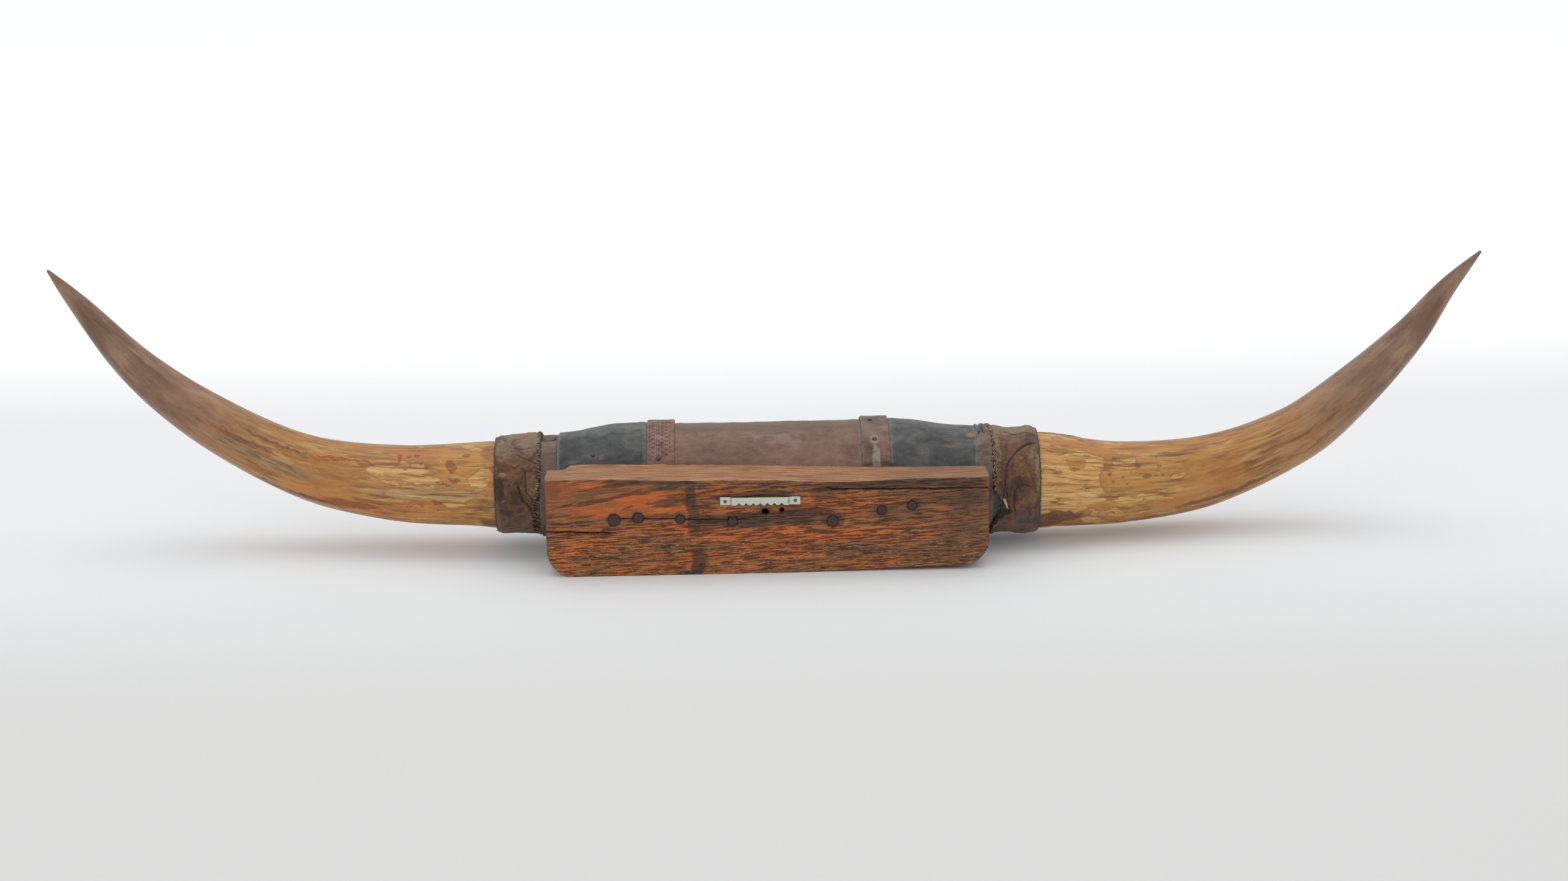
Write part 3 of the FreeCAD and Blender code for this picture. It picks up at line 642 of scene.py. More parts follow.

# %% [markdown]
# ## The oak board
#
# The board is a rough-sawn plank stood on its edge. Its two lower corners were cut round by hand, its top
# edge falls a little to the right and has worn wavy, the oak has split along the grain, and two old screw
# holes are left in it. It could be a plain box with bumps, but splits and holes have to be real. So a cube is
# cut into a fine grid, the grid's rows are drawn onto the splits before the middle row is pushed in, and the
# points next to a hole are drawn onto its rim. Stains and wear are stored on the points for the finish to
# read, and so is painted shade for the splits, the holes and a little round the nail heads.

# %% Board sizes
BOARD_LENGTH, BOARD_THICKNESS, BOARD_CORNER = 426.0, 50.0, 26.0
WALL_Y, ROLL_FACE_Y = -25.0, 25.0
TOP_NEAR = ((-213, 97.2), (-163, 97.4), (-120, 95.6), (-62, 94.3), (-4, 93.4), (37, 91.5), (75, 90.1),
            (104, 90.7), (124, 92.0), (168, 92.4), (213, 92.2))
TOP_FAR = ((-213, 94.2), (-196, 94.6), (-189, 98.4), (-150, 98.8), (0, 95.0), (120, 91.0), (213, 89.6))
COLUMNS, CORNER_ROWS, ROWS, LAYERS = 284, 20, 72, 14
USUAL_HEIGHT = 95  # the board's height about its middle
BOARD_RISE = 4.2  # the lower edge was cut a little high towards the right end
SPLITS = (  # points (x, z) along the split, then its depth and half width
    (((-213, 45.6), (-185, 44.2), (-166, 43.6), (-146, 43.4)), 6.5, 1.1),
    (((-143, 58.0), (-135, 57.2), (-92, 56.2), (-60, 55.0), (-14, 54.6)), 3.5, 0.65),
    (((62, 82.7), (117, 81.7), (153, 81.4), (213, 80.9)), 6.0, 1.1),
)
OLD_HOLES = ((-2.4, 61.4, 3.1), (13.6, 62.9, 2.2))
BOARD_NAILS = ((-147.4, 56.2, 5.4), (-124.1, 57.8, 4.7), (-83.9, 55.5, 4.1), (-33.8, 52.4, 4.5),
               (62.0, 51.1, 4.9), (109.3, 60.9, 4.1), (138.4, 64.9, 4.1))
STAINS = (  # x, z, half width, half height, strength
    (-74, 82, 5, 16, 1.0), (-71, 56, 5.5, 17, 0.9), (-66, 16, 8, 12, 0.85), (-69, 4, 6, 6, 0.6),
    (-40, 53, 36, 7, 0.75), (6, 55, 40, 7, 0.9), (54, 79, 13, 9, 0.6), (63, 52, 11, 6, 0.9),
    (40, 62, 26, 6, 0.6),
    (-130, 57, 26, 3.0, 0.55), (-110, 93, 50, 3, 0.75), (-150, 86, 50, 2.0, 0.4), (-20, 80, 40, 3, 0.35),
    (140, 87, 80, 4.5, 0.95), (178, 72, 38, 8, 0.6), (112, 62, 14, 5, 0.6), (-205, 88, 8, 10, 0.55),
    (188, 40, 22, 26, 0.35), (138, 66, 9, 5, 0.5), (-8, 77, 42, 3, 0.45), (20, 33, 14, 5, 0.4),
    (-10, 24, 9, 4, 0.45), (45, 22, 20, 5, 0.35), (90, 20, 22, 5, 0.35), (150, 16, 30, 9, 0.3),
)
GLOWS = (  # places where the orange heartwood is clean
    (-150, 72, 52, 5.0, 0.6), (-120, 80, 45, 4.5, 0.55), (-172, 63, 38, 4, 0.6), (-160, 90, 26, 3, 0.5),
    (-95, 68, 18, 4, 0.35), (-40, 76, 16, 8, 0.3), (-150, 47, 60, 4, 0.3), (-130, 22, 60, 14, 0.25),
    (-110, 66, 60, 5, 0.35), (-180, 40, 30, 8, 0.3), (-20, 34, 60, 6, 0.55), (50, 36, 46, 6, 0.75),
    (95, 48, 36, 6, 0.4), (84, 68, 22, 6, 0.45), (34, 76, 8, 6, 0.3),
    (130, 40, 40, 10, 0.3),
)

# %% [markdown]
# The cube's edges are subdivided one direction at a time, so the grid has its own spacing each way. Each
# point's place in the cube then gives its place on the plank: how far along, how high between the rounded
# bottom and the worn top, and how far from the wall side.

# %% Board shape
def gridded_cube(columns, layers, rows):
    bm = bmesh.new()
    bmesh.ops.create_cube(bm, size=1.0)
    for axis, pieces in ((0, columns), (2, rows), (1, layers)):
        lines = [e for e in bm.edges if abs(e.verts[0].co[axis] - e.verts[1].co[axis]) > 0.9]
        bmesh.ops.subdivide_edges(bm, edges=lines, cuts=pieces - 1, use_grid_fill=True)
    return bm


def row_heights(x, top):
    """The height of every row of the grid at x, with rows drawn onto the splits."""
    corner = [BOARD_CORNER * (1 - math.cos(math.pi / 2 * k / CORNER_ROWS)) for k in range(CORNER_ROWS)]
    above = ROWS - CORNER_ROWS
    heights = corner + [BOARD_CORNER + (top - BOARD_CORNER) * k / above for k in range(above + 1)]
    plain = list(heights)
    pushed = {}
    for points, depth, half in SPLITS:
        start, end = points[0][0], points[-1][0]
        if not start - 8 < x < end + 8:
            continue
        z = between(points, x) + 0.35 * lumps((x, 0, depth), 9, 3, 2)
        there = ease(x, start - 8, start + 4) if start > -212 else 1.0
        there *= 1 - ease(x, end - 14, end) if end < 212 else 1.0
        steady = sum(p[1] for p in points) / len(points)
        rise = USUAL_HEIGHT - BOARD_CORNER
        middle = min(range(len(plain)),
                     key=lambda k: abs(BOARD_CORNER + rise * (k - CORNER_ROWS) / above - steady))
        near = ease(x, start - 8, start) * (1 - ease(x, end, end + 8))
        shift = (z - plain[middle]) * near
        for k in range(CORNER_ROWS, len(heights) - 1):
            heights[k] += shift * math.exp(-(((k - middle) / 5) ** 2))
        for k in (-1, 1):
            heights[middle + k] += (z + k * half - heights[middle + k]) * near
        pushed[middle] = depth * there
    return heights, pushed


def worn(x, z):
    """How far a point of the wall face is pushed in by grain and wear."""
    grain = 0.22 * lumps((x, 0, z), (60, 1, 2.6), 11, 2)
    dents = 0.5 * lumps((x, 0, z), (25, 1, 16), 12, 2)
    return grain + dents


def make_board():
    bm = gridded_cube(COLUMNS, LAYERS, ROWS)
    names = ("stain", "glow", "split", "top", "wear", "end")
    layer = {name: bm.verts.layers.float.new(name) for name in names}
    columns = {}
    for v in bm.verts:
        column = round((v.co.x + 0.5) * COLUMNS)
        row, depth = round((v.co.z + 0.5) * ROWS), v.co.y + 0.5
        if column not in columns:
            x = -BOARD_LENGTH / 2 + BOARD_LENGTH * column / COLUMNS
            columns[column] = (x, row_heights(x, 100.0))
        x, (heights, pushed) = columns[column]
        y = WALL_Y + BOARD_THICKNESS * depth
        z = heights[row]
        near, far = between(TOP_NEAR, x), between(TOP_FAR, x)
        top = near + (far - near) * ease(depth, 0.25, 1.0)
        z += BOARD_RISE * min(max((x + 10) / 205, 0.0), 1.0) * (1 - ease(z, 6, 45))
        if row > CORNER_ROWS:  # the rows above the splits spread out to meet the worn top
            z = z if z < 86 else 86 + (z - 86) * (top - 86) / (100.0 - 86)
        reach = BOARD_LENGTH / 2
        flat = heights[row]
        if flat < BOARD_CORNER:
            drop = BOARD_CORNER - flat
            reach = reach - BOARD_CORNER + math.sqrt(max(BOARD_CORNER**2 - drop**2, 0.0))
        x = x * reach / (BOARD_LENGTH / 2)
        on_wall, on_roll = depth < 0.001, depth > 0.999
        on_top, on_end = row == ROWS, column in (0, COLUMNS)
        cut = 0.0
        if on_wall:
            cut = pushed.get(row, 0.0)
            y += cut + worn(x, z) * 0.6
        if on_roll:
            y -= 0.3 * abs(lumps((x, 50, z), (40, 1, 12), 14, 2))
        if on_top:
            z += 0.35 * lumps((x, y, 0), (70, 5, 1), 15, 2) + 0.3 * lumps((x, y, 0), (14, 9, 1), 16, 2)
        if on_top and (on_wall or on_roll):
            z -= 0.8 + 0.5 * lumps((x, y, 0), 7, 17, 2)
            y += (0.7 if on_wall else -0.7)
        if on_end:
            x -= math.copysign(0.25 + 0.35 * lumps((0, y, z), (1, 12, 4), 18, 2), x)
            if on_wall:
                x -= math.copysign(0.6 + 0.4 * lumps((x, y, z), (5, 5, 9), 19, 2), x)
                y += 0.5
            x -= math.copysign(pushed.get(row, 0.0) * 0.3, x)
        v.co = (x, y, z)
        # painted shade: the points pushed into a split are marked to be painted near black
        v[layer["split"]] = 1.0 if on_wall and cut > 0.6 else 0.0
        v[layer["top"]] = 1.0 if on_top else 0.0
        v[layer["end"]] = 1.0 if on_end else 0.0
        side = 1.0 if on_wall else 0.25
        wander = 1.5 * lumps((x, 0, z), (14, 1, 9), 13, 3)
        v[layer["stain"]] = side * marks(x + wander, z + wander * 0.5, STAINS, power=4)
        v[layer["glow"]] = side * marks(x, z, GLOWS)
        edge = max(1 - ease(BOARD_LENGTH / 2 - abs(x), 0, 7),
                   0.8 * (1 - ease(top - z, 0, 1.6)) if x > 60 else 0.0)
        v[layer["wear"]] = edge
    return bm, layer


def sink(bm, layer, x, z, radius, depth, dark):
    """Draws the nearest points of the wall face onto a rim, pushes what is inside it in, and marks it dark as
    painted shade.
    """
    for v in bm.verts:
        if v.co.y > WALL_Y + 3 or abs(v.co.x - x) > radius + 3 or abs(v.co.z - z) > radius + 3:
            continue
        dx, dz = v.co.x - x, v.co.z - z
        away = math.hypot(dx, dz) or 0.01
        if away < radius:
            keep = min(away, radius * 0.86) / away
            v.co = (x + dx * keep, WALL_Y + depth, z + dz * keep)
            v[layer["split"]] = dark
        elif away < radius + 1.5:
            keep = radius * 1.03 / away
            v.co.x, v.co.z = x + dx * keep, z + dz * keep
            v[layer["split"]] = max(v[layer["split"]], dark * 0.4)
            v[layer["stain"]] = max(v[layer["stain"]], 0.9)


# %% [markdown]
# Oak's colour runs in bands: on a flat-sawn face they cross the plank at a slant, and elsewhere they break up
# into short dark dashes where the open pores are. So the finish has one broad slanted grain for the upper
# left, one fine grain for the rest, a long grain and patches that leave clean heartwood orange, pores and
# pale flecks as very thin stretched noise, the stored stain and wear marks on top, and painted shade, near
# black, in the splits, the old screw holes and round the nail heads.

# %% Oak finish
def oak_finish():
    f = Finish("old_oak")
    broad = f.noise((80, 60, 6.4), slant=9.5, seed=1, detail=4, rough=0.64, warp=0.45)
    fine = f.noise((19, 30, 1.7), slant=2.5, seed=2, detail=4, rough=0.62, warp=0.3)
    long_grain = f.noise((75, 50, 5.5), slant=3.0, seed=9, detail=2, rough=0.5)
    patches = f.noise((55, 60, 22), slant=4, seed=3, detail=3)
    pores = f.noise((6.5, 8, 0.62), slant=2.0, seed=4, detail=3, rough=0.65)
    flecks = f.noise((6.5, 8, 0.75), slant=1.5, seed=5, detail=2, rough=0.6)
    dust = f.noise(1.6, seed=6, detail=3)

    x_z = f.add("SeparateXYZ")
    f.feed(x_z.inputs[0], f.place(1.0))
    x, z = x_z.outputs[0], x_z.outputs[2]
    upper_left = f.times(f.band(x, -70, -95), f.band(z, 54, 62))
    # Clean heartwood is orange, the rest has gone brown; both are broken by short dark dashes.
    clean = f.sum(f.times(f.stored("glow"), 0.22), f.times(f.sum(patches, -0.5), 0.7))
    clean = f.sum(clean, f.times(f.sum(long_grain, -0.5), 0.55))
    clean = f.sum(clean, f.times(f.band(x, 110, 200), -0.10))
    heart = f.ramp(f.sum(clean, 0.5), (0.36, tone(110, 76, 52)), (0.5, tone(148, 92, 54)),
                   (0.62, tone(190, 98, 44)), (0.78, tone(216, 110, 42)))
    wood = f.mix(f.band(fine, 0.50, 0.68, 0.0, 0.55), heart, tone(196, 118, 60))
    dashes_at = f.sum(fine, f.times(clean, -0.16))
    dash = f.band(dashes_at, 0.50, 0.41, 0.0, 1.0)
    streak = f.band(f.sum(broad, f.times(clean, -0.12)), 0.475, 0.42, 0.0, 1.0)
    dark = f.mix(upper_left, dash, f.sum(f.times(streak, 0.8), f.times(dash, 0.2)))
    wood = f.mix(f.times(dark, 0.84), wood, tone(60, 44, 34))
    value = f.sum(f.times(dark, -0.3), 0.75)
    dark_pores = f.band(pores, 0.57, 0.66)
    wood = f.mix(f.times(dark_pores, f.band(upper_left, 0.0, 1.0, 0.6, 0.3)), wood, tone(50, 36, 26))
    pale = f.times(f.band(flecks, 0.585, 0.66), f.band(z, 52, 22, 0.14, 0.85))
    wood = f.mix(pale, wood, tone(196, 150, 92))
    stain = f.band(f.sum(f.stored("stain"), f.times(f.sum(fine, -0.5), 0.9)), 0.1, 1.0)
    wood = f.mix(f.times(stain, 0.8), wood, f.ramp(fine, (0.35, tone(40, 30, 27)), (0.65, tone(88, 62, 48))))
    wear = f.times(f.stored("wear"), f.band(dust, 0.35, 0.6))
    wood = f.mix(f.times(wear, 0.7), wood, tone(132, 88, 62))
    top_grain = f.noise((34, 1.5, 8), seed=8, detail=5, rough=0.66)
    grey_top = f.ramp(top_grain, (0.33, tone(64, 42, 30)), (0.41, tone(138, 92, 62)),
                      (0.54, tone(174, 122, 82)), (0.7, tone(206, 162, 120)))
    grey_top = f.mix(f.times(f.band(x, 60, 190, 0.0, 0.4), f.band(patches, 0.35, 0.6)), grey_top,
                     tone(104, 80, 68))
    wood = f.mix(f.stored("top"), wood, grey_top)
    wood = f.mix(f.times(f.stored("end"), 0.6), wood, tone(84, 54, 40))
    # Painted shade: the splits, the old screw holes and a ring round each nail head are painted near black.
    wood = f.mix(f.band(f.stored("split"), 0.1, 0.8), wood, tone(18, 13, 11))

    normal = f.bump(f.sum(fine, f.times(dark, -0.5)), 0.6)
    normal = f.bump(pores, 0.45, normal)
    normal = f.bump(dust, 0.12, normal)
    return f.done(wood, f.band(value, 0.4, 0.75, 0.64, 0.5), normal, Specular_IOR_Level=0.35)


old_oak = oak_finish()

# %% Make the board
board, board_layers = make_board()
for x, z, r in OLD_HOLES:
    sink(board, board_layers, x, z, r, 28.0, 1.0)
for x, z, r in BOARD_NAILS:
    sink(board, board_layers, x, z, r + 0.35, 1.7, 0.8)
point_outwards(board, lambda p: p - Vector((0, 0, 45)))
ridges = [e for e in board.edges if len(e.link_faces) == 2 and e.calc_face_angle(0) > 1.0
          and all(v[board_layers["split"]] < 0.3 for v in e.verts)]
bmesh.ops.bevel(board, geom=ridges, offset=0.35, offset_type="OFFSET", affect="EDGES", segments=1,
                profile=0.5, material=-1, clamp_overlap=True)
finish_piece(board, "oak_plank", old_oak, ["oak_backboard"])

# %% [markdown]
# ## The leather-covered roll
#
# The roll is a beam of wood in wadding, in three lengths of leather: brown in the middle and black at the
# ends, where it tapers to the horns. The skin is tight but soft, so it has dents, it swells beside the wide
# straps that pinch it, it puckers where the end straps draw it in, and it is pressed flat against the board.
# Cloth simulation would make it baggy. Each length is a tube whose radius is read off a line, with smooth
# noise for the dents and a limit where the board is, and a Solidify wall of leather's thickness.

# %% Roll sizes
ROLL_RADIUS, LEATHER, STRAP = 60.0, 2.5, 3.0
STRAP_X = {"left": -102.6, "right": 107.0}
STRAP_WIDTH = 27.0
SLEEVE_LINE = {  # distance from the middle, radius
    "left": ((90, 60.0), (118, 60.2), (146, 59.6), (166, 56.8), (186, 53.9), (203, 52.2)),
    "right": ((90, 60.0), (122, 60.0), (144, 58.8), (162, 56.0), (180, 53.2), (206, 51.8)),
}
END_STRAP_X = {"left": 204.0, "right": 207.0}
END_STRAP_RADIUS = {"left": 50.0, "right": 51.8}
END_STRAP_WALL = 2.4
CUFF_X = 221.0
SEAT = {"left": 46.0, "right": 49.0}


def pressed(x, y):
    """Keeps a point of the roll behind the board's face, and behind the strap where there is one."""
    limit = ROLL_FACE_Y
    for middle in STRAP_X.values():
        limit += STRAP * (1 - ease(abs(x - middle), STRAP_WIDTH / 2, STRAP_WIDTH / 2 + 4))
    return max(y, limit + 0.15)


def round_roll(x, angle, radius, limit=None):
    """A point on the roll at an angle up from the wall side, kept behind the board or behind limit."""
    y = ROLL_Y - radius * math.cos(angle)
    y = pressed(x, y) if limit is None else max(y, limit)
    return Vector((x, y, ROLL_Z + radius * math.sin(angle)))


# %% Leather tubes
def skin_tube(x0, x1, spacing, shape, names=(), limit=None):
    """A tube along X from x0 to x1. shape(x, angle, kinds) gives the radius and fills in what is stored."""
    rings = max(3, round(abs(x1 - x0) / spacing))
    around = round(2 * math.pi * ROLL_RADIUS / (spacing * 1.15))
    bm = straight_tube(rings, around)
    layers = {name: bm.verts.layers.float.new(name) for name in names}
    about = bm.verts.layers.float_vector.new("round_place")
    for v in bm.verts:
        x = x0 + (x1 - x0) * (v.co.z + 0.5)
        angle = math.atan2(v.co.y, v.co.x)
        kinds = {name: 0.0 for name in names}
        radius = shape(x, angle, kinds)
        v.co = round_roll(x, angle, radius, limit)
        v[about] = Vector((x, 57 * math.cos(angle), 57 * math.sin(angle))) * MM
        for name, layer in layers.items():
            v[layer] = kinds[name]
    point_outwards(bm, lambda p: p - Vector((p.x, ROLL_Y, ROLL_Z)))
    return bm


def soft_dents(x, angle):
    place = (x, 57 * math.cos(angle), 57 * math.sin(angle))
    return 0.9 * lumps(place, (60, 30, 30), 21, 2) + 0.35 * lumps(place, (16, 14, 14), 22, 2)


def by_strap(x):
    """The skin sinks under a wide strap and swells a little beside it."""
    lift = 0.0
    for middle in STRAP_X.values():
        away = abs(x - middle) - STRAP_WIDTH / 2
        lift += 0.5 * math.exp(-((away - 5) / 5) ** 2) - 0.6 * math.exp(-((away + 1) / 2.5) ** 2)
    return lift


def panel_shape(x, angle, kinds):
    degrees = math.degrees(angle)
    dust = 0.0
    for middle in STRAP_X.values():
        dust += 1 - ease(abs(abs(x - middle) - STRAP_WIDTH / 2), 0.5, 4.5)
    # dust along the strap edges; the two listed marks, a pale band just below the crest at 60 to 67 degrees,
    # are a painted highlight
    kinds["dust"] = dust + marks(x, degrees, ((-8, 67, 90, 4, 0.3), (10, 60, 34, 7, 0.35)))
    kinds["warm"] = ease(degrees, 68, 80) if degrees > 0 else 1 - ease(degrees, -175, -110)
    dent = -1.1 * marks(x, degrees, ((40, 60, 26, 5, 1), (-44, 64, 30, 5, 0.8), (8, 88, 40, 10, 0.5)))
    return ROLL_RADIUS - 0.7 + soft_dents(x, angle) * 0.9 + by_strap(x) + dent


def sleeve_shape(which):
    side = SIDE[which]
    line = SLEEVE_LINE[which]
    end = END_STRAP_X[which]
    hole = (-168.0, 45.0) if which == "left" else (171.0, 150.0)

    def shape(x, angle, kinds):
        out, degrees = side * x, math.degrees(angle)
        radius = between(line, out)
        near_end = ease(out, 170, end)
        folds = lumps((out * 0.12, 50 * math.cos(angle), 50 * math.sin(angle)), (14, 9, 9), 24, 2)
        radius += folds * 1.1 * near_end + soft_dents(x, angle) * (1.0 - 0.3 * near_end) + by_strap(x)
        under_strap = END_STRAP_RADIUS[which] - END_STRAP_WALL
        radius += (under_strap - radius) * ease(out, end - 0.8, end + 0.8)
        radius += (SEAT[which] - radius) * ease(out, CUFF_X - 0.5, CUFF_X + 3)
        pit = math.hypot(x - hole[0], (degrees - hole[1]) * 0.95)
        # painted shade: the hole's inside is marked here and painted near black by the black leather
        kinds["hole"] = 1 - ease(pit, 1.2, 2.0)
        kinds["dust"] = (1 - ease(abs(abs(x - STRAP_X[which]) - STRAP_WIDTH / 2), 0.5, 5.0)
                         + (1 - ease(abs(out - end), 0.5, 4.0))
                         + 0.7 * ease(degrees, 60, 88) * (1 - ease(degrees, 120, 170)))
        streaks = ((201, 68, 5, 4, 0.8), (185, 60, 14, 4, 0.4), (192, 52, 18, 4, 0.36),
                   (166, 50, 20, 3, 0.25)) \
            if which == "right" else ((160.5, 43, 3.4, 4, 0.5), (150, 32, 6, 4, 0.25))
        kinds["tan"] = marks(out, degrees, streaks)
        return radius - 1.9 * kinds["hole"]

    return shape


# %% [markdown]
# Old leather is one material in several colours: a cloudy tone, a fine pebbled grain made of small cells,
# creases made of stretched noise, and dust that lies on top and along the edges. Some stored masks are
# painted
# shade: near black in each sleeve's hole, and dark brown in the straps' stamps, cracks, pits and grooves. So
# one function makes every leather of the roll from its own colours.

# %% Leather finish
def leather(name, dark, middle, light, dusty, rough=0.55, warm=None, grain=0.28, stains_and_shade=()):
    f = Finish(name)
    cloud = f.noise((34, 24, 24), seed=1, detail=4, rough=0.6, warp=0.6)
    blotch = f.noise((9, 6, 6), seed=2, detail=3, rough=0.6)
    pebble = f.cells(1.3, seed=3)
    crease = f.noise((3.5, 16, 16), seed=4, detail=3, rough=0.6, warp=0.8)
    speck = f.noise(1.1, seed=5, detail=2)
    value = f.sum(f.times(cloud, 0.65), f.times(blotch, 0.35))
    colour = f.ramp(value, (0.36, dark), (0.5, middle), (0.66, light))
    if warm is not None:
        share = f.band(f.sum(f.stored("warm"), f.times(f.sum(blotch, -0.5), 0.6)), 0.1, 0.9)
        colour = f.mix(f.times(share, 0.75), colour, warm)
    # listed stain colours, and painted shade where a mask marks a hole or a recess
    for attribute, stain in stains_and_shade:
        share = f.band(f.sum(f.stored(attribute), f.times(f.sum(speck, -0.5), 0.7)), 0.2, 0.9)
        colour = f.mix(share, colour, stain)
    dust = f.band(f.sum(f.stored("dust"), f.times(f.sum(blotch, -0.5), 1.3)), 0.1, 1.1)
    colour = f.mix(f.times(dust, 0.62), colour, dusty)
    colour = f.mix(f.band(crease, 0.64, 0.74, 0.0, 0.35), colour, dark)
    normal = f.bump(pebble, grain)
    normal = f.bump(crease, 0.5, normal)
    normal = f.bump(blotch, 0.5, normal)
    shine = f.band(f.sum(dust, f.times(blotch, 0.6)), 0.2, 1.3, rough - 0.1, rough + 0.25)
    return f.done(colour, shine, normal, Specular_IOR_Level=0.4)


brown_skin = leather("brown_leather", tone(98, 70, 60), tone(122, 90, 77), tone(140, 108, 94),
                     tone(172, 152, 138),
                     rough=0.48, warm=tone(108, 84, 60))
# Painted shade: the black leather paints the inside of each sleeve's hole near black.
black_skin = leather("black_leather", tone(50, 52, 53), tone(73, 74, 73), tone(99, 98, 96),
                     tone(142, 141, 137),
                     rough=0.6, stains_and_shade=(("tan", tone(150, 118, 92)), ("hole", tone(12, 11, 11))))

# %% Make the roll
LEATHER_FACE = 1.7
panel = skin_tube(STRAP_X["left"], STRAP_X["right"], LEATHER_FACE, panel_shape, ("dust", "warm"))
panel = finish_piece(panel, "brown_panel", brown_skin, ["leather_centre_panel"],
                     wall=LEATHER)
for which in ("left", "right"):
    end_x = SIDE[which] * 232.0
    sleeve = skin_tube(STRAP_X[which], end_x, LEATHER_FACE, sleeve_shape(which), ("dust", "tan", "hole"))
    sleeve = finish_piece(sleeve, f"black_sleeve_{which}", black_skin,
                          [f"leather_sleeve_{which}"], wall=LEATHER)

# %% [markdown]
# ## The straps
#
# A wide strap covers each joint between brown and black. The left one is tooled: rows of short stamped dashes
# on its upper part, and below them the surface has blistered and cracked. The right one is plain and scuffed.
# A narrow strap ends each sleeve beside its cuff. All four are tubes with softly rounded edges; the stamping
# is real relief, since the strap is only 27 mm wide and its faces are half a millimetre across.

# %% Strap shapes
STRAP_FACE = 0.75
STRAP_WALL, NARROW_STRAP_WALL = 2.6, 2.3
DASH_PITCH = (4.3, 5.4)  # along X, round the roll


def rounded_edge(away, depth=0.9, reach=1.3):
    """How far a strap's face drops near its edge; away is the distance to the edge."""
    t = 1 - min(max(away / reach, 0.0), 1.0)
    return depth * t * t


def dashes(x, arc, shift):
    """Stamped dashes in pairs, from 0 to 1."""
    column = math.floor(x / DASH_PITCH[0])
    arc += DASH_PITCH[1] * 0.5 * (column % 2) + 0.5 * noise.noise(Vector((column * 3.1, arc * 0.12, shift)))
    u = abs(x / DASH_PITCH[0] - column - 0.5) * DASH_PITCH[0]
    w = abs(arc / DASH_PITCH[1] - math.floor(arc / DASH_PITCH[1]) - 0.5) * DASH_PITCH[1]
    return (1 - ease(abs(u - 0.95), 0.25, 0.75)) * (1 - ease(w, 0.9, 1.6))


def wide_strap_shape(which):
    middle = STRAP_X[which]

    def shape(x, angle, kinds):
        degrees = math.degrees(angle) % 360
        arc = math.radians(degrees) * 63
        local = x - middle
        place = (x, 63 * math.cos(angle), 63 * math.sin(angle))
        wander = 0.6 * lumps((0, place[1], place[2]), 18, 31 + SIDE[which], 2)
        away = STRAP_WIDTH / 2 - abs(local)
        radius = ROLL_RADIUS + STRAP - rounded_edge(away) + 0.25 * lumps(place, 12, 32, 2)
        if which == "left":
            tooled = ease(degrees, 36, 42) * (1 - ease(degrees, 205, 215)) * ease(away, 2.0, 3.2)
            stamp = dashes(local + 13.5, arc, 1.0) * tooled
            blister = 0.45 * lumps(place, 2.6, 34, 2) * (1 - tooled) * ease(away, 0.8, 2)
            # painted shade: the stamped dashes and the cracks between blisters are marked to be painted dark
            kinds["worked"] = stamp + max(0.0, -blister) * 1.2
            radius += blister - 0.55 * stamp
            kinds["dust"] = 0.35 * (1 - ease(away, 0.5, 1.8)) + 0.25 * tooled
        else:
            # painted shade: the pit is marked to be painted dark
            kinds["worked"] = marks(local, degrees, ((-4, 84, 2.2, 3.0, 1.0),))
            radius -= 1.6 * marks(local, degrees, ((-4, 84, 1.8, 2.4, 1.0),))
            kinds["dust"] = (marks(local, degrees, ((-0.6, 32, 3.4, 16, 0.9), (-1.0, 54, 4.2, 5, 1.0),
                                                    (9, 70, 4, 14, 0.3), (3, 30, 1.2, 14, 0.8)))
                             + 0.4 * (1 - ease(away, 0.5, 2.0)))
        kinds["warm"] = marks(local, degrees, ((9, 62, 5, 26, 0.45), (5, 45, 5, 12, 0.35)))
        return radius + wander * 0.12

    return shape


def end_strap_shape(which):
    start = END_STRAP_X[which]
    outer = END_STRAP_RADIUS[which]
    side = SIDE[which]

    def shape(x, angle, kinds):
        out, degrees = side * x, math.degrees(angle)
        place = (x, 50 * math.cos(angle), 50 * math.sin(angle))
        away = out - start
        radius = outer + 0.35 * lumps(place, (8, 10, 10), 36, 2) - rounded_edge(away, 0.8, 1.2)
        kinds["dust"] = 0.9 * (1 - ease(away, 0.2, 1.6)) + 0.3 * ease(degrees, 55, 80)
        kinds["warm"] = marks(out, degrees, ((start + 6, 60, 4, 20, 0.35),))
        if which == "left":  # an oval pucker on the crest
            ring = math.hypot((out - (start + 9)) / 7.5, (degrees - 84) / 7.0)
            radius += (1.1 * math.exp(-((ring - 0.55) / 0.35) ** 2)
                       - 1.5 * math.exp(-((ring - 1.05) / 0.12) ** 2))
            # painted shade: the pucker's groove is marked to be painted dark
            kinds["worked"] = math.exp(-((ring - 1.05) / 0.12) ** 2)
        else:  # loose folds on the crest
            crest = ease(degrees, 66, 76) * (1 - ease(degrees, 118, 140))
            fold = math.sin(out * 0.9 + degrees * 0.16 + 1.6 * lumps(place, 9, 38, 2))
            radius += crest * (0.3 + 1.3 * fold)
            # painted shade: the gaps between the folds are marked to be painted dark, and a dark spot on the
            # crest
            kinds["worked"] = crest * ease(-fold, 0.35, 0.9) + marks(out, degrees, ((208, 74, 4, 3, 0.8),))
        return radius

    return shape


